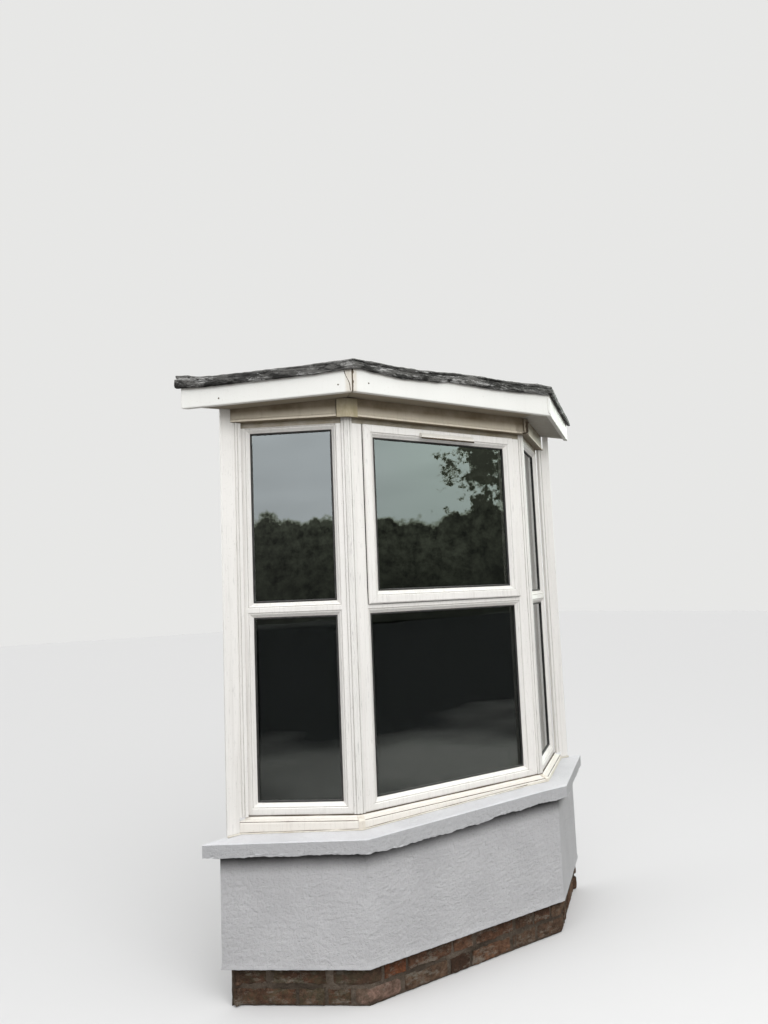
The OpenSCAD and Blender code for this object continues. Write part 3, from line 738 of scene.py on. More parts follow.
# %% [markdown]
# ## Skins along the bay
# Render, sill and lead are long runs of one section that turn the bay's two corners. Each is
# made as a closed skin: the section's points are joined along the plan lines in a fine grid,
# so that later steps have enough points to roughen. The outer lines are longer than the
# frame line, so the grid gets a few points more. The ends are flat against the house.

# %% Skins along the bay
OUTER_LONGER = 1.12


def smooth_step(low, high, value):
    share = min(1.0, max(0.0, (value - low) / (high - low)))
    return share * share * (3 - 2 * share)


def fine_section(section, step):
    """A closed section with extra points, no further apart than a step."""
    points = []
    for (o0, z0), (o1, z1) in zip(section, section[1:] + section[:1]):
        count = max(1, round(math.hypot(o1 - o0, z1 - z0) / step))
        points += [
            (o0 + (o1 - o0) * i / count, z0 + (z1 - z0) * i / count) for i in range(count)
        ]
    return points


def new_piece(name, mesh, material):
    piece = bpy.data.objects.new(name, mesh)
    bpy.context.scene.collection.objects.link(piece)
    mesh.materials.clear()
    mesh.materials.append(material)
    return piece


def write_values(mesh, name, values):
    """Gives every point of a mesh its own number."""
    mesh.attributes.new(name, "FLOAT", "POINT").data.foreach_set("value", values)


def facing_out(mesh):
    """Merges doubles and turns every face outwards."""
    work = bmesh.new()
    work.from_mesh(mesh)
    bmesh.ops.remove_doubles(work, verts=work.verts, dist=1e-5)
    bmesh.ops.recalc_face_normals(work, faces=work.faces)
    work.to_mesh(mesh)
    work.free()


def canted_skin(name, section, step, material, shape, wear):
    """A closed skin of one section round the bay. shape moves each point as it is placed;
    wear gives each point its share of the roughening, from 0 to 1."""
    rows = []
    worn = []
    for offset, z in fine_section(section, step):
        corners = plan_line(offset)
        row = []
        for start, end, length in zip(corners, corners[1:], (FACET_LEN, 2 * FRONT_HALF, FACET_LEN)):
            count = round(length * OUTER_LONGER / step)
            row += [start.lerp(end, i / count) for i in range(count)]
        row.append(corners[3])
        for point in row:
            point.z = z
        rows.append([shape(point, offset, z) for point in row])
        worn += [wear(offset, z)] * len(row)
    width = len(rows[0])
    points = [tuple(point) for row in rows for point in row]
    faces = []
    for r in range(len(rows)):
        below = r * width
        over = (r + 1) % len(rows) * width
        faces += [(below + c, below + c + 1, over + c + 1, over + c) for c in range(width - 1)]
    faces.append([r * width for r in range(len(rows))])
    faces.append([r * width + width - 1 for r in reversed(range(len(rows)))])
    mesh = bpy.data.meshes.new(name)
    mesh.from_pydata(points, [], faces)
    write_values(mesh, "wear", worn)
    facing_out(mesh)
    return new_piece(name, mesh, material)


print("skins can be made")

# %% [markdown]
# ## Roughening with Geometry Nodes
# A noise pushes every point in or out along its normal. Two sizes of noise give the slow
# wave of a hand-laid surface and the lumps on it. Points on the wall plane only slide in it,
# so the cut end stays flat. The tree has named inputs, so that each material gets its own
# strength from the same tree. Afterwards the result is kept as a plain mesh.

# %% Roughening with Geometry Nodes
WALL_REACH = 0.0002


def new_tree(name, *labels):
    """An empty Geometry Nodes tree, and the wires that bring in its named inputs."""
    tree = bpy.data.node_groups.new(name, "GeometryNodeTree")
    kinds = {"Geometry": "Geometry", **{label: "Float" for label in labels}, "Material": "Material"}
    for label, kind in kinds.items():
        tree.interface.new_socket(name=label, in_out="INPUT", socket_type="NodeSocket" + kind)
    tree.interface.new_socket(name="Geometry", in_out="OUTPUT", socket_type="NodeSocketGeometry")
    outputs = node(tree, "NodeGroupInput").outputs
    return tree, {label: Wire(tree, outputs[label]) for label in kinds}


def end_tree(tree, geometry, material):
    """Realize Instances and Set Material close every tree."""
    real = wire(tree, "GeometryNodeRealizeInstances", {0: geometry})
    done = wire(tree, "GeometryNodeSetMaterial", {0: real, "Material": material})
    node(tree, "NodeGroupOutput", {0: done})
    return tree


def attribute(tree, name, kind="FLOAT"):
    return wire(tree, "GeometryNodeInputNamedAttribute", {"Name": name}, data_type=kind)


def along_normal(tree, amount):
    """A push along each point's normal."""
    inputs = {0: wire(tree, "GeometryNodeInputNormal"), "Scale": amount}
    return wire(tree, "ShaderNodeVectorMath", inputs, operation="SCALE")


def run_tree(piece, tree, **values):
    """Runs a tree on a piece, in the piece's own material, and keeps the result as its mesh."""
    values["Material"] = piece.data.materials[0]
    modifier = piece.modifiers.new(tree.name, "NODES")
    modifier.node_group = tree
    for item in tree.interface.items_tree:
        key = item.name.replace(" ", "_")
        if item.in_out == "INPUT" and key in values:
            modifier[item.identifier] = values[key]
    bpy.context.view_layer.update()
    graph = bpy.context.evaluated_depsgraph_get()
    mesh = bpy.data.meshes.new_from_object(piece.evaluated_get(graph))
    piece.modifiers.clear()
    piece.data = mesh
    mesh.name = piece.name
    return piece


def roughen_tree():
    labels = ("Wave depth", "Wave scale", "Lump depth", "Lump scale", "Seed")
    tree, given = new_tree("roughen", *labels)
    place = wire(tree, "GeometryNodeInputPosition")
    waves = cloudy(tree, place, given["Wave scale"], 3.0, seed=given["Seed"])
    lumps = cloudy(tree, place, given["Lump scale"], 3.0, seed=given["Seed"])
    wave = (waves - 0.5) * 2.0 * given["Wave depth"]
    lump = (lumps - 0.5) * 2.0 * given["Lump depth"] * attribute(tree, "wear")
    x, y, z = axes(tree, along_normal(tree, wave + lump))
    free = axes(tree, place)[1] < -WALL_REACH
    flat = wire(tree, "ShaderNodeCombineXYZ", {"X": x, "Y": y * free, "Z": z})
    moved = {"Geometry": given["Geometry"], "Offset": flat}
    return end_tree(tree, wire(tree, "GeometryNodeSetPosition", moved), given["Material"])


roughen = roughen_tree()
print("tree", roughen.name, "with", len(roughen.nodes), "nodes")

# %% [markdown]
# ## Render coat
# The dwarf wall wears about 16 mm of sand and cement render, painted grey. Its face waves a
# little from the float, and its foot ends in a bell-mouth drip that was never quite
# straight. One skin turns both corners, because the real coat has no joint there.

# %% Render coat
DRIP_OUT = RENDER_OUT + 0.003
FOOT_TOP = RENDER_Z + 0.02


def up_to_sill(point, offset, z):
    """Carries the top of the coat up to the sill where that has risen."""
    if z > SILL_Z - 0.001:
        point.z += max(0.0, settled(point.x))
    return point


def foot_wear(offset, z):
    return 1.0 if z < FOOT_TOP else 0.22


render_coat = canted_skin(
    "render_coat",
    [
        (BRICK_OUT, RENDER_Z),
        (DRIP_OUT, RENDER_Z),
        (DRIP_OUT, RENDER_Z + 0.004),
        (RENDER_OUT + 0.001, RENDER_Z + 0.014),
        (RENDER_OUT, RENDER_Z + 0.024),
        (RENDER_OUT, SILL_Z),
        (BRICK_OUT, SILL_Z),
    ],
    step=0.008,
    material=render_paint,
    shape=up_to_sill,
    wear=foot_wear,
)
run_tree(
    render_coat, roughen, Wave_depth=0.0016, Wave_scale=7.0, Lump_depth=0.0022,
    Lump_scale=55.0, Seed=3.0,
)
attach(render_coat, "root")
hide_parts("render_left", "render_front", "render_right")
print("render coat has", len(render_coat.data.polygons), "faces")

# %% [markdown]
# ## Concrete sill
# The sill was cast or run in place and painted many times. Its top and nose are fairly true,
# but the lower edge is ragged, and it hangs deeper along the left half of the front. The
# shape function lowers that stretch, and the lumps are strongest on the lower edge. A groove
# under the nose keeps rain off the wall.

# %% Concrete sill
SILL_BACK = -0.072
NOSE_FACE = NOSE_OUT - 0.001
GROOVE_TOP = SILL_Z + 0.008
NOSE_TOP = SILL_Z + 0.048


def at_nose_foot(offset, z):
    return offset > NOSE_OUT - 0.02 and z < SILL_Z + 0.012


def sagging_nose(point, offset, z):
    """Tilts the sill with the wall, and lowers its ragged foot on the front's left half."""
    point.z += settled(point.x) * smooth_step(-0.06, 0.02, offset)
    if at_nose_foot(offset, z):
        sag = smooth_step(-0.56, -0.42, point.x) * (1 - smooth_step(0.02, 0.12, point.x))
        ripple = math.sin(point.x * 31) * 0.0016 + math.sin(point.x * 83 + 1) * 0.0010
        point.z -= 0.008 * sag + ripple
    return point


def nose_wear(offset, z):
    return 1.0 if at_nose_foot(offset, z) else 0.12


sill = canted_skin(
    "concrete_sill",
    [
        (SILL_BACK, SILL_Z),
        (NOSE_OUT - 0.028, SILL_Z),
        (NOSE_OUT - 0.026, GROOVE_TOP),
        (NOSE_OUT - 0.020, GROOVE_TOP),
        (NOSE_OUT - 0.018, SILL_Z),
        (NOSE_FACE, SILL_Z),
        (NOSE_FACE, NOSE_TOP),
        (NOSE_OUT - 0.005, SILL_Z + 0.052),
        (0.030, CILL_Z),
        (SILL_BACK, CILL_Z),
    ],
    step=0.006,
    material=sill_paint,
    shape=sagging_nose,
    wear=nose_wear,
)
run_tree(
    sill, roughen, Wave_depth=0.0009, Wave_scale=9.0, Lump_depth=0.0056, Lump_scale=64.0, Seed=8.0
)
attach(sill, "root")
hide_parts("concrete_sill_left", "concrete_sill_front", "concrete_sill_right")
print("sill has", len(sill.data.polygons), "faces")

# %% [markdown]
# ## Pieces that stand on the tilted sill
# The windows are younger than the wall and stand level, but the old sill under them has
# tilted. The foot of the cill and of the left cover trim were made to follow it. Their
# solids are copied, and in the copy the points at the foot go down with the sill.

# %% Pieces that stand on the tilted sill
FOOT_Z = CILL_Z + 0.012


def follow_sill(name, nodes):
    """A copy of some solids whose lowest points follow the tilt of the sill."""
    work = bmesh.new()
    for part in nodes:
        work.from_mesh(solids[part].data)
    bmesh.ops.remove_doubles(work, verts=work.verts, dist=1e-6)
    for vert in work.verts:
        if vert.co.z < FOOT_Z:
            vert.co.z += min(0.0, settled(vert.co.x))
    mesh = bpy.data.meshes.new(name)
    work.to_mesh(mesh)
    work.free()
    piece = new_piece(name, mesh, finish_of(nodes[0]))
    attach(piece, "root")
    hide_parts(*nodes)
    print(name, "has", len(mesh.polygons), "faces")


follow_sill("cill_run", ["cill_left", "cill_front", "cill_right"])
follow_sill("cill_caps", ["cill_corner_caps"])
follow_sill("side_trim_on_sill", ["side_trim_left"])

# %% [markdown]
# ## Lead roof
# Old lead creeps: the sheets ripple, and the edge that is dressed over the fascia lies in
# several folds, beaten into a thick, uneven band. It stands highest at the right end of the
# front, and is almost flat on the right-hand slope. The lift holds the height of its top,
# and the hang how far its roll comes down over the boards. On the left-hand slope the crease
# between the two folds is beaten out, and the whole slope has sunk towards the house wall.

# %% Lead roof
SAG = math.tan(math.radians(2.4))
LEAD_T = 0.004
DRIP_O = FASCIA_OUT + 0.002
FOLD_OUT = 0.0135
EDGE_LIFT = (
    (-1.13, 0.022), (-1.08, 0.014), (-1.02, 0.002), (-0.90, 0.002), (-0.73, 0.004), (-0.60, 0.008),
    (-0.53, 0.012), (-0.44, 0.010), (-0.34, 0.005), (-0.22, 0.005), (-0.13, 0.009), (-0.03, 0.015),
    (0.05, 0.016), (0.15, 0.018), (0.24, 0.014), (0.34, 0.017), (0.45, 0.023), (0.53, 0.021),
    (0.62, 0.016), (0.80, 0.004), (1.13, 0.0),
)
EDGE_HANG = (
    (-1.13, 0.004), (-1.00, 0.009), (-0.85, 0.007), (-0.68, 0.006), (-0.60, 0.001), (-0.50, -0.004),
    (-0.42, 0.003), (-0.30, 0.011), (-0.13, 0.006), (-0.06, -0.003), (0.03, -0.002), (0.15, 0.001),
    (0.25, -0.001), (0.35, -0.003), (0.45, -0.007), (0.54, -0.011), (0.70, -0.004), (1.13, 0.0),
)
FOLDS = (
    (0.002, -0.013), (0.009, -0.0148), (0.0140, -0.0120), (0.0152, -0.006), (0.0150, 0.000),
    (0.0142, 0.0045), (0.0080, 0.0060), (0.0105, 0.0085), (0.0120, 0.0130), (0.0090, 0.0175),
    (-0.004, 0.0205),
)


def deck_top(offset):
    return EAVE_Z + (FASCIA_OUT - 0.003 - offset) * SLOPE


def sunk(point, offset):
    """How far the left-hand roof has gone down here, towards the house wall."""
    hip = plan_line(offset)[1]
    away = math.hypot(point.x - hip.x, point.y - hip.y)
    if point.x > hip.x:
        return 0.0
    return SAG * (away + (FASCIA_OUT - offset) * MITRE * smooth_step(0.0, 0.15, away))


def along_eaves(heights, x):
    """Reads a list of (x, height) pairs, with soft turns from one pair to the next."""
    before = max(pair for pair in heights if pair[0] <= x)
    after = min(pair for pair in heights if pair[0] > x)
    share = smooth_step(before[0], after[0], x)
    return before[1] + (after[1] - before[1]) * share


def lifted(point, offset, z):
    """Raises the edge of the sheet by its lift and lowers its roll by its hang."""
    near_edge = smooth_step(0.02, 0.13, offset)
    on_top = smooth_step(EAVE_Z - 0.012, EAVE_Z + 0.012, z)
    lift = on_top * along_eaves(EDGE_LIFT, point.x)
    hang = (1 - on_top) * along_eaves(EDGE_HANG, point.x)
    wander = 0.006 * math.sin(point.x * 9 + 1) + 0.003 * math.sin(point.x * 31)
    crease = wander * on_top * (1 - on_top) * 4
    in_crease = offset > DRIP_O + 0.004 and 0.004 < z - EAVE_Z < 0.011
    if in_crease:
        filled = (DRIP_O + FOLD_OUT - offset) * (1 - smooth_step(-0.80, -0.57, point.x))
        point.x -= filled * math.sin(CANT)
        point.y -= filled * math.cos(CANT)
    point.z += near_edge * (lift - hang + crease) - sunk(point, offset)
    return point


under_side = [(o, deck_top(o)) for o in (-FRAME_PROJ, DRIP_O)] + [(DRIP_O, EAVE_Z - 0.004)]
dressed_edge = [(DRIP_O + out, EAVE_Z + up) for out, up in FOLDS]
top_side = [(o, deck_top(o) + LEAD_T) for o in (DRIP_O - 0.030, -FRAME_PROJ)]
lead_roof = canted_skin(
    "lead_roof", under_side + dressed_edge + top_side, step=0.0085, material=lead_grey,
    shape=lifted, wear=lambda offset, z: smooth_step(0.0, 0.15, offset),
)
run_tree(
    lead_roof, roughen, Wave_depth=0.0026, Wave_scale=6.0, Lump_depth=0.0042,
    Lump_scale=36.0, Seed=5.0,
)
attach(lead_roof, "root")
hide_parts("lead_left", "lead_front", "lead_right")
print("lead roof has", len(lead_roof.data.polygons), "faces")

# %% [markdown]
# ## Mortar bed
# Behind the visible brick faces there is mortar, and behind that the rest of the wall. One
# skin stands for all of it. It lies a few millimetres back from the brick faces, so that
# every joint is a real groove. The cut ends at the house are set back in the same way.

# %% Mortar bed
JOINT_BACK = 0.006
WALL_IN = -0.159
BOARD_Z = 0.665
OFF_FLOOR = 0.002
JOINT_FACE = BRICK_OUT - JOINT_BACK
UNDER_COAT = BRICK_OUT - 0.0005


def cut_end_back(point, offset, z):
    """Sets the ends of the mortar back from the plane of the house wall."""
    if SILL_Z - 0.001 < z < SILL_Z + 0.001:
        point.z += max(0.0, settled(point.x)) * smooth_step(-0.06, 0.02, offset)
    if point.y > -0.001:
        point.y = -JOINT_BACK
    point.z = max(point.z, OFF_FLOOR)
    return point


mortar_bed = canted_skin(
    "mortar_bed",
    [
        (WALL_IN, 0.0),
        (JOINT_FACE, 0.0),
        (JOINT_FACE, RENDER_Z + 0.004),
        (UNDER_COAT, RENDER_Z + 0.008),
        (UNDER_COAT, SILL_Z),
        (SILL_BACK, SILL_Z),
        (SILL_BACK, BOARD_Z),
        (WALL_IN, BOARD_Z),
    ],
    step=0.012,
    material=mortar,
    shape=cut_end_back,
    wear=lambda offset, z: 1.0 if offset > BRICK_OUT - 0.01 and z < RENDER_Z else 0.0,
)
run_tree(
    mortar_bed, roughen, Wave_depth=0.0, Wave_scale=7.0, Lump_depth=0.0045, Lump_scale=38.0,
    Seed=2.0,
)
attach(mortar_bed, "root")
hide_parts("brick_wall_left", "brick_wall_front", "brick_wall_right")
print("mortar bed has", len(mortar_bed.data.polygons), "faces")

# %% [markdown]
# ## Brick courses with Geometry Nodes
# Two courses show under the render, in long and short bricks by turns. A brick is a thing
# that repeats, so the script only works out where each one lies: its middle, size, turn and
# tone become a point with attributes. The tree puts a small block on every point, makes all
# of them real, wears their edges round and pits their faces with noise. A block's point is on
# an edge if it lies near two faces at once. One brick of the front is newer than the rest.

# %% Brick courses with Geometry Nodes
STRETCHER = 0.215
HEADER = 0.1025
BED = 0.008
COURSE = 0.073
FIRST_BED = 0.0016
BRICK_DEPTH = 0.05
CUT_DEPTH = 0.03
SHORTEST = 0.045
LEAST_GAP = 0.03
CUT_END_CLEAR = 0.045
NEAR_A_FACE = 0.49
LONG_ARM = 0.15
SHORT_ARM = 0.06
OLDEST_TO = 0.85
FRESH_TONE = 0.9
Brick = namedtuple("Brick", "middle size turn tone")
rng = random.Random(11)


def lay_course(start, end, long_one):
    """Lengths of whole and cut bricks that fill a run, as (start, end) pairs."""
    spots = []
    here = start
    while here < end - LEAST_GAP:
        there = min(end, here + (STRETCHER if long_one else HEADER))
        if end - there < SHORTEST:
            there = end
        spots.append((here, there))
        here = there + BED
        long_one = not long_one
    return spots


def course_bricks(side, course, arm):
    """The straight bricks of one course on one facet, clear of the corner bricks."""
    reach = BRICK_OUT * MITRE
    if side == "front":
        low, high = -FRONT_HALF - reach + arm + BED, FRONT_HALF + reach - arm - BED
    else:
        low = -(FRAME_PROJ + BRICK_OUT * math.cos(CANT)) / math.sin(CANT) + CUT_END_CLEAR
        high = reach - arm - BED
    z = course * COURSE + FIRST_BED + (COURSE - BED) / 2
    turn = {"front": 0.0, "left": -CANT, "right": CANT}[side]
    found = []
    for number, (a, b) in enumerate(lay_course(low, high, course == 0)):
        proud = rng.uniform(-0.0025, 0.0012)
        middle = facet_place(side, (a + b) / 2, BRICK_OUT + proud - BRICK_DEPTH / 2, z)
        size = (b - a, BRICK_DEPTH, COURSE - BED + rng.uniform(-0.004, 0.001))
        fresh = (side, course, number) == ("front", 1, 0)
        tone = FRESH_TONE if fresh else OLDEST_TO * rng.random()
        found.append(Brick(middle, size, turn + rng.uniform(-0.006, 0.006), tone))
    return found


def cut_face_bricks():
    """Brick faces on the two cut ends of the dwarf wall, flush with the house wall."""
    found = []
    inner, outer = wall_half(WALL_IN), wall_half(BRICK_OUT)
    for course in range(8):
        z0 = course * COURSE + FIRST_BED
        joint = 0.226 if course % 2 else 0.118
        splits = (inner + 0.004, inner + joint, outer - 0.006)
        tall = COURSE - BED if course < 7 else SILL_Z - z0 - 0.002
        for sign in (-1, 1):
            for a, b in zip(splits, splits[1:]):
                middle = (sign * (a + b - BED) / 2, -CUT_DEPTH / 2 - 0.0003, z0 + tall / 2)
                found.append(Brick(middle, (b - a - BED, CUT_DEPTH, tall), 0.0, rng.random()))
    return found


def on_points(tree, points, instance, scale):
    """A copy of one shape on every point, turned about the upright by the point's turn."""
    about_z = wire(tree, "ShaderNodeCombineXYZ", {"Z": attribute(tree, "turn")})
    inputs = {"Points": points, "Instance": instance, "Rotation": about_z, "Scale": scale}
    return wire(tree, "GeometryNodeInstanceOnPoints", inputs)


def bricks_tree():
    tree, given = new_tree("lay_bricks", "Worn edge", "Pit depth", "Pit scale", "Seed")
    cuts = {"Size": (1, 1, 1), "Vertices X": 27, "Vertices Y": 6, "Vertices Z": 10}
    place = wire(tree, "GeometryNodeInputPosition")
    at_x, at_y, at_z = (abs(part) > NEAR_A_FACE for part in axes(tree, place))
    edges = {
        "Geometry": wire(tree, "GeometryNodeMeshCube", cuts),
        "Name": "on_edge",
        "Value": at_x + at_y + at_z > 1.5,
    }
    block = wire(tree, "GeometryNodeStoreNamedAttribute", edges)
    laid = on_points(tree, given["Geometry"], block, attribute(tree, "size", "FLOAT_VECTOR"))
    real = wire(tree, "GeometryNodeRealizeInstances", {0: laid})
    pits = cloudy(tree, place, given["Pit scale"], 3.0, seed=given["Seed"])
    pits = (pits - 0.62) * given["Pit depth"]
    chips = cloudy(tree, place, 17.0, 3.0, seed=given["Seed"]).spread(0.35, 0.65, 0.3, 2.4)
    worn = attribute(tree, "on_edge") * given["Worn edge"] * chips
    moved = {"Geometry": real, "Offset": along_normal(tree, pits * 2.0 - worn)}
    return end_tree(tree, wire(tree, "GeometryNodeSetPosition", moved), given["Material"])


bricks = cut_face_bricks()
for course in (0, 1):
    for side in ("left", "front", "right"):
        has_long_arm = (course == 0) == (side == "front")
        bricks += course_bricks(side, course, LONG_ARM if has_long_arm else SHORT_ARM)
seeds = bpy.data.meshes.new("brick_spots")
seeds.from_pydata([tuple(brick.middle) for brick in bricks], [], [])
sizes = [value for brick in bricks for value in brick.size]
seeds.attributes.new("size", "FLOAT_VECTOR", "POINT").data.foreach_set("vector", sizes)
write_values(seeds, "turn", [brick.turn for brick in bricks])
write_values(seeds, "tone", [brick.tone for brick in bricks])
brick_courses = new_piece("brick_courses", seeds, brick_clay)
run_tree(
    brick_courses, bricks_tree(), Worn_edge=0.0042, Pit_depth=0.0075, Pit_scale=44.0, Seed=4.0
)
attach(brick_courses, "root")
print(len(bricks), "bricks with", len(brick_courses.data.polygons), "faces")

# %% [markdown]
# ## Corner bricks
# Each corner turns with a bent brick, long and short arm by turns. Feet and weather have
# rounded these the most, the one at the ground on the left above all. They are swept round
# the corner as a fine grid, and a few rounds of smoothing take off their edges.

# %% Corner bricks
SIDE_STEPS = 9
FRONT_STEPS = 18
EVERY_AXIS = {"use_axis_x": True, "use_axis_y": True, "use_axis_z": True}


def corner_path(side, out, z, arm_front, arm_side):
    """Points along a bent brick, from the end of one arm to the end of the other."""
    reach = out * MITRE
    row = []
    for i in range(SIDE_STEPS):
        row.append(facet_place("left", reach - arm_side * (1 - i / SIDE_STEPS), out, z))
    for i in range(FRONT_STEPS + 1):
        row.append(facet_place("front", -FRONT_HALF - reach + arm_front * i / FRONT_STEPS, out, z))
    if side == "right":
        for point in row:
            point.x = -point.x
    return row


def bent_brick(side, course, arm_front, arm_side, rounds, tone):
    """A brick that turns the corner, its edges taken off by some rounds of smoothing."""
    z0 = course * COURSE + (0.003 if course == 0 else 0.001)
    z1 = z0 + (COURSE - BED - (0.002 if course == 0 else 0))
    back = BRICK_OUT - BRICK_DEPTH
    section = fine_section([(back, z0), (BRICK_OUT, z0), (BRICK_OUT, z1), (back, z1)], 0.008)
    work = bmesh.new()
    verts = []
    for out, z in section:
        path = corner_path(side, out, z, arm_front, arm_side)
        verts.append([work.verts.new(point) for point in path])
    for low, high in zip(verts, verts[1:] + verts[:1]):
        for c in range(len(low) - 1):
            work.faces.new((low[c], low[c + 1], high[c + 1], high[c]))
    for end in ([row[0] for row in verts], [row[-1] for row in reversed(verts)]):
        bmesh.ops.poke(work, faces=[work.faces.new(end)])
    bmesh.ops.recalc_face_normals(work, faces=work.faces)
    for _ in range(rounds):
        bmesh.ops.smooth_vert(work, verts=work.verts, factor=0.5, **EVERY_AXIS)
    mesh = bpy.data.meshes.new("bent_brick")
    work.to_mesh(mesh)
    work.free()
    write_values(mesh, "tone", [tone] * len(mesh.vertices))
    write_values(mesh, "wear", [1.0] * len(mesh.vertices))
    return mesh


def joined(name, meshes, material):
    """Several meshes put together as one piece."""
    work = bmesh.new()
    for mesh in meshes:
        work.from_mesh(mesh)
    whole = bpy.data.meshes.new(name)
    work.to_mesh(whole)
    work.free()
    return new_piece(name, whole, material)


bent = [
    bent_brick("left", 0, LONG_ARM, SHORT_ARM, 9, 1.0),
    bent_brick("left", 1, SHORT_ARM, LONG_ARM, 6, 0.55),
    bent_brick("right", 0, LONG_ARM, SHORT_ARM, 5, 0.6),
    bent_brick("right", 1, SHORT_ARM, LONG_ARM, 4, 0.8),
]
corner_bricks = joined("corner_bricks", bent, brick_clay)
run_tree(
    corner_bricks, roughen, Wave_depth=0.001, Wave_scale=9.0, Lump_depth=0.003, Lump_scale=30.0,
    Seed=6.0,
)
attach(corner_bricks, "root")
print("corner bricks have", len(corner_bricks.data.polygons), "faces")

# %% [markdown]
# ## Beads of rubber and sealant
# Round every pane runs a black rubber seal, and the joints at the foot of the cill are
# filled with white sealant. All of these are a small round section along a path, which is
# just what Curve to Mesh makes. The paths are plain edges, and noise in the thickness gives
# sealant its uneven, finger-smoothed look.

# %% Beads of rubber and sealant
BEAD_SIDES = 8
CUTS_PER_EDGE = 9
WANDER_SCALE = 34.0


def bead_tree():
    tree, given = new_tree("run_bead", "Radius", "Unevenness", "Seed")
    line = wire(tree, "GeometryNodeMeshToCurve", {0: given["Geometry"]})
    noise = cloudy(tree, wire(tree, "GeometryNodeInputPosition"), WANDER_SCALE, seed=given["Seed"])
    ring = {"Resolution": BEAD_SIDES, "Radius": given["Radius"]}
    tube = {
        "Curve": wire(tree, "GeometryNodeSubdivideCurve", {0: line, "Cuts": CUTS_PER_EDGE}),
        "Profile Curve": wire(tree, "GeometryNodeCurvePrimitiveCircle", ring),
        "Scale": 1.0 + (noise - 0.5) * 2.0 * given["Unevenness"],
        "Fill Caps": True,
    }
    return end_tree(tree, wire(tree, "GeometryNodeCurveToMesh", tube), given["Material"])


run_bead = bead_tree()


def bead_along(name, paths, material, slot, closed=False, **values):
    """A bead along several paths of points, as one piece."""
    points = []
    edges = []
    for path in paths:
        first = len(points)
        points += [tuple(point) for point in path]
        edges += [(first + i, first + i + 1) for i in range(len(path) - 1)]
        if closed:
            edges.append((len(points) - 1, first))
    mesh = bpy.data.meshes.new(name)
    mesh.from_pydata(points, edges, [])
    piece = run_tree(new_piece(name, mesh, material), run_bead, **values)
    facing_out(piece.data)
    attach(piece, "root")
    print(name, "has", len(piece.data.polygons), "faces")


print("tree", run_bead.name, "with", len(run_bead.nodes), "nodes")

# %% [markdown]
# ## Seals of the panes
# The bead holds the sealed glass unit, and a black rubber lip closes the gap between them.
# Each of the six panes gets one closed loop, laid in the corner of bead and glass. The
# opening sash stands 16 mm further out than the fixed frames, so its loop does as well, and
# one more loop is the seal that it closes on.

# %% Seals of the panes
POST_LEG = 0.024
FRAME_FACE = 0.049
BEAD_W = 0.018
SASH_EDGE = 0.052
SASH_LAP = 0.0535
SEAL_IN = 0.0034
SEAL_OUT = 0.0018
GLASS_IN = 0.020
SASH_PROUD = 0.016
FRONT_PANE = FRONT_HALF - POST_LEG - FRAME_FACE - BEAD_W
SASH_PANE = FRONT_HALF - POST_LEG - FRAME_FACE - SASH_EDGE
SASH_OUT = SASH_PANE + SASH_LAP
SIDE_PANE = (-FACET_LEN + 0.037, -POST_LEG - 0.042)
LOWER_Z = (FRAME_Z + 0.045, 1.457)
UPPER_Z = (1.516, HEAD_Z - 0.067)
SASH_Z = (1.547, HEAD_Z - 0.098)
SASH_OUT_Z = (SASH_Z[0] - SASH_LAP, SASH_Z[1] + SASH_LAP)


def pane_loop(side, sides, heights, depth):
    """The four corners of a seal, just inside the pane's daylight edge."""
    x0, x1 = sides[0] + SEAL_IN, sides[1] - SEAL_IN
    z0, z1 = heights[0] + SEAL_IN, heights[1] - SEAL_IN
    corners = ((x0, z0), (x1, z0), (x1, z1), (x0, z1))
    return [facet_place(side, x, SEAL_OUT - depth, z) for x, z in corners]


loops = [
    pane_loop("front", (-FRONT_PANE, FRONT_PANE), LOWER_Z, GLASS_IN),
    pane_loop("front", (-SASH_PANE, SASH_PANE), SASH_Z, GLASS_IN - SASH_PROUD),
    pane_loop("front", (-SASH_OUT, SASH_OUT), SASH_OUT_Z, 0.0022),
]
for side in ("left", "right"):
    loops += [pane_loop(side, SIDE_PANE, z, GLASS_IN) for z in (LOWER_Z, UPPER_Z)]
bead_along("pane_seals", loops, rubber, "frame_plastic", closed=True, Radius=0.0046)

# %% [markdown]
# ## Sealant joints
# White sealant fills the joint between cill and concrete, and the feet of the two cover
# trims stand in a smear of it. Nobody runs such a bead evenly, so its thickness wanders.

# %% Sealant joints
SILL_LEVELS_OUT = 0.87


def on_sill(x, y, up):
    """A point this far above the tilted sill."""
    return Vector((x, y, CILL_Z + settled(x) + up))


def round_the_bay(offset, up, height=None):
    """A path along a plan line, at a height, or on the sill with a point where it levels out."""
    a, b, c, d = plan_line(offset)
    path = [a, b, b.lerp(c, SILL_LEVELS_OUT), c, d]
    if height is None:
        return [on_sill(p.x, p.y, up) for p in path]
    return [Vector((p.x, p.y, height)) for p in path]


sealant_paths = [round_the_bay(0.0305, 0.001)]
for sign in (-1, 1):
    foot = ((0.929, -0.011), (0.868, -0.012), (0.846, -0.018))
    sealant_paths.append([on_sill(sign * x, y, 0.0005) for x, y in foot])
bead_along(
    "sealant_joint", sealant_paths, caulk, "cill_plastic", Radius=0.0042, Unevenness=0.7, Seed=3.0
)

# %% [markdown]
# ## Lines of grime
# Dust and algae settle where water is held: under the frames, on the step of the cill and in the
# crack over the sealant. These are broken dark lines, so each is a thin bead of grime. The opened
# mitre of the fascia is full of it too, and the board beside the mitre has a crack. A dark line
# under the ventilator hood, made the same way, is painted shadow.

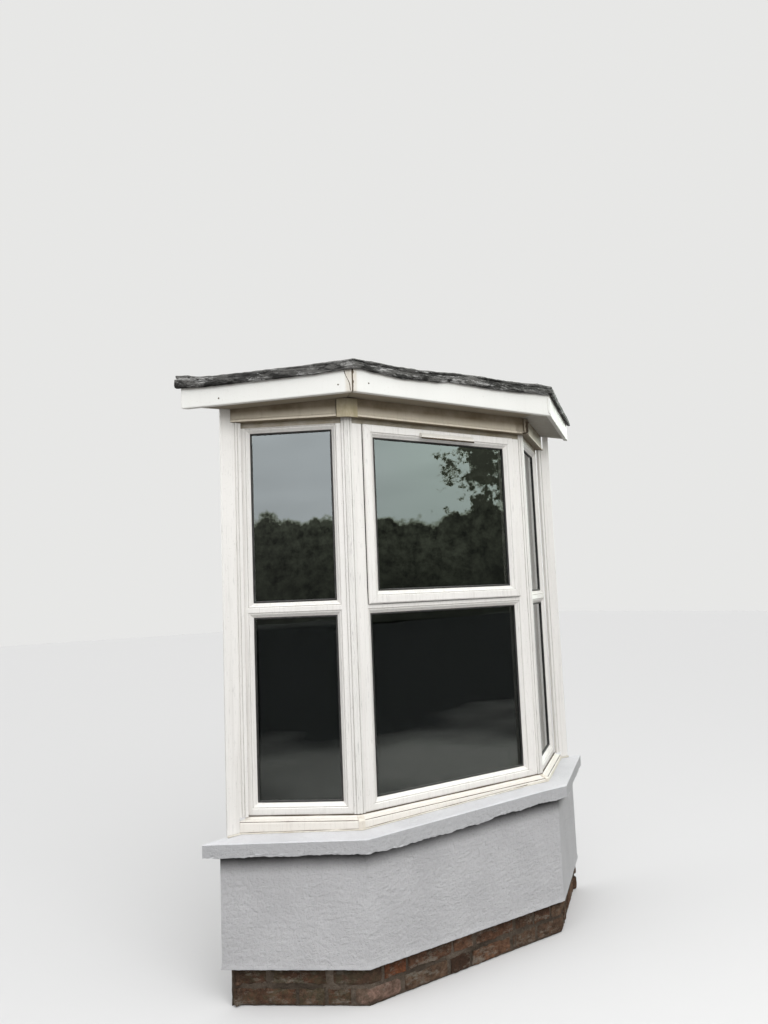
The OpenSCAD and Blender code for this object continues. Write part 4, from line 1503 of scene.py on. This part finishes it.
# %% Lines of grime
VENT_Z = SASH_Z[1] + 0.014
CRACK = (
    (-0.034, 0.085), (-0.031, 0.074), (-0.026, 0.060), (-0.018, 0.044), (-0.013, 0.030),
    (-0.011, 0.004),
)


def grime_line(name, path, slot, radius, unevenness, seed):
    bead_along(name, [path], grime_paint, slot, Radius=radius, Unevenness=unevenness, Seed=seed)


joint = FASCIA_OUT * MITRE
crack_path = [facet_place("left", joint + along, FASCIA_OUT, FASCIA_Z + up) for along, up in CRACK]
mitre = plan_line(FASCIA_OUT - 0.006)[1]
mitre_path = [mitre + Vector((0, 0, FASCIA_Z + up)) for up in (0.003, 0.05, 0.098)]
vent_path = [
    facet_place("front", along, SASH_PROUD + 0.0150, VENT_Z - 0.0034) for along in (-0.127, 0.163)
]
foot_path = round_the_bay(0.0030, 0, FRAME_Z - 0.0005)
step_path = round_the_bay(0.0262, 0, CILL_Z + 0.0262)
grime_line("frame_foot_grime", foot_path, "frame_plastic", 0.0021, 0.9, 5.0)
grime_line("cill_step_grime", step_path, "cill_plastic", 0.0010, 1.6, 9.0)
grime_line("sealant_crack", round_the_bay(0.0312, 0.0050)[:3], "cill_plastic", 0.0009, 2.0, 12.0)
grime_line("fascia_crack", crack_path, "board_plastic", 0.0014, 1.2, 2.0)
grime_line("fascia_mitre_grime", mitre_path, "board_plastic", 0.0062, 0.9, 4.0)
# This dark line under the ventilator hood is painted shadow.
grime_line("ventilator_grime", vent_path, "frame_plastic", 0.0038, 0.5, 6.0)

# %% [markdown]
# ## Covers of the head joints
# The boards over the windows meet behind a folded plastic cover. The one on the left is wide,
# with a flattened corner, and the one on the right has lost its foot, as its solid shows. So
# the right one is copied from the solid, and the left one is folded anew round the corner.
# Grime lies along the left one's seam and round the right one's broken foot.

# %% Covers of the head joints
COVER_IN = 0.0342
COVER_T = 0.0045
COVER_WIDE = 0.034
SIDE_FOLD = COVER_IN * MITRE
FRONT_END = 0.033 - FRONT_HALF
FLAT = 0.010
COVER_Z = (HEAD_Z - 0.0285, FASCIA_Z + 0.004)
BROKEN_EDGE = (
    (-0.004, 0.034), (-0.008, 0.012), (-0.006, -0.012), (-0.012, -0.020), (-0.034, -0.0235)
)

inner_folds = [("left", -COVER_WIDE), ("left", SIDE_FOLD), ("front", FRONT_END)]
outer_folds = [
    ("front", FRONT_END), ("front", FLAT - FRONT_HALF - SIDE_FOLD), ("left", SIDE_FOLD - FLAT),
    ("left", -COVER_WIDE),
]
outline = [facet_place(side, along, COVER_IN, 0) for side, along in inner_folds]
outline += [facet_place(side, along, COVER_IN + COVER_T, 0) for side, along in outer_folds]
covers = bmesh.new()
covers.from_mesh(solids["head_corner_covers"].data)
bmesh.ops.delete(covers, geom=[vert for vert in covers.verts if vert.co.x < 0], context="VERTS")
foot, head = ([covers.verts.new((p.x, p.y, z)) for p in outline] for z in COVER_Z)
for i in range(len(outline)):
    covers.faces.new((foot[i - 1], foot[i], head[i], head[i - 1]))
covers.faces.new(foot)
covers.faces.new(list(reversed(head)))
bmesh.ops.remove_doubles(covers, verts=covers.verts, dist=1e-6)
bmesh.ops.recalc_face_normals(covers, faces=covers.faces)
cover_mesh = bpy.data.meshes.new("head_joint_covers")
covers.to_mesh(cover_mesh)
covers.free()
joint_covers = new_piece("head_joint_covers", cover_mesh, head_cover)
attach(joint_covers, "root")
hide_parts("head_corner_covers")
seam_z = (HEAD_Z - 0.022, FASCIA_Z + 0.002)
seam = [facet_place("left", -COVER_WIDE - 0.0012, COVER_IN + 0.0010, z) for z in seam_z]
broken_foot = [
    facet_place("front", FRONT_HALF + SIDE_FOLD + along, COVER_IN + 0.0035, HEAD_Z + up)
    for along, up in BROKEN_EDGE
]
grime_line("cover_seam", seam, "board_plastic", 0.0016, 0.6, 8.0)
grime_line("broken_cover_grime", broken_foot, "board_plastic", 0.0064, 1.7, 15.0)
print("covers have", len(cover_mesh.polygons), "faces")

# %% [markdown]
# ## Pins of the fascia
# The boards are held with small capped pins. They repeat, so a tree puts a flattened dome on
# every marked point and turns it to face outwards.

# %% Pins of the fascia
PINS = (("left", -0.49, 0.005), ("left", -0.008, 0.030), ("front", -0.463, 0.040))
FACING = {"left": -CANT, "front": 0.0}
FLATTENED = (1.0, 0.45, 1.0)


def pins_tree():
    tree, given = new_tree("drive_pins", "Head radius")
    round_head = {"Segments": 12, "Rings": 6, "Radius": given["Head radius"]}
    dome = wire(tree, "GeometryNodeMeshUVSphere", round_head)
    set_in = on_points(tree, given["Geometry"], dome, FLATTENED)
    return end_tree(tree, set_in, given["Material"])


marks = bpy.data.meshes.new("pin_marks")
places = [facet_place(side, along, FASCIA_OUT - 0.0002, FASCIA_Z + up) for side, along, up in PINS]
marks.from_pydata([tuple(place) for place in places], [], [])
write_values(marks, "turn", [FACING[side] for side, along, up in PINS])
pin_heads = run_tree(new_piece("pin_heads", marks, grime_paint), pins_tree(), Head_radius=0.0034)
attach(pin_heads, "root")
print(len(PINS), "pins")

# %% [markdown]
# ## Rolls and upstand of the lead
# The sheets meet in a roll on each hip, and along the house wall the lead is turned up by
# about 40 mm in the middle and less towards the eaves. The rolls are beads again. The upstand
# is a thin strip whose foot follows the roof and whose top edge waves a little, as
# hand-dressed lead does.

# %% Rolls and upstand of the lead
ROLL_STEPS = 12
UPSTAND_STEPS = 150


def roof_offset_at_wall(x):
    """The offset of the plan line that meets the house wall at this x."""
    return max(-FRAME_PROJ, (abs(x) - wall_half(0)) / (MITRE + 1 / math.tan(CANT)))


def hip_path(number):
    """A path up the hip over one corner of the plan lines."""
    path = []
    for i in range(ROLL_STEPS + 1):
        offset = DRIP_O - 0.004 + (-FRAME_PROJ - DRIP_O + 0.012) * i / ROLL_STEPS
        corner = plan_line(offset)[number]
        corner.z = deck_top(offset) + LEAD_T + 0.003
        path.append(lifted(corner, offset, corner.z))
    return path


def wall_upstand():
    half = wall_half(FASCIA_OUT) - 0.01
    points = []
    for i in range(UPSTAND_STEPS + 1):
        x = -half + 2 * half * i / UPSTAND_STEPS
        offset = roof_offset_at_wall(x)
        foot = deck_top(offset) + 0.001 - sunk(Vector((x, 0, 0)), offset)
        tall = 0.006 + 0.034 * (FASCIA_OUT - offset) / (FASCIA_OUT + FRAME_PROJ)
        top = foot + tall + 0.002 * math.sin(x * 19) + 0.0015 * math.sin(x * 51 + 1)
        face = -LEAD_T * (0.8 + 0.2 * math.sin(x * 33))
        points += [(x, 0, foot), (x, face, foot), (x, face, top), (x, 0, top)]
    faces = []
    for a in range(0, 4 * UPSTAND_STEPS, 4):
        b = a + 4
        faces += [(a + k, a + (k + 1) % 4, b + (k + 1) % 4, b + k) for k in range(4)]
    faces += [(0, 1, 2, 3), tuple(reversed(range(len(points) - 4, len(points))))]
    mesh = bpy.data.meshes.new("lead_upstand")
    mesh.from_pydata(points, [], faces)
    facing_out(mesh)
    return new_piece("lead_upstand", mesh, lead_grey)


hips = [hip_path(1), hip_path(2)]
bead_along("lead_rolls", hips, lead_grey, "lead", Radius=0.0105, Unevenness=0.22, Seed=7.0)
upstand = wall_upstand()
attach(upstand, "root")
print("upstand has", len(upstand.data.polygons), "faces")
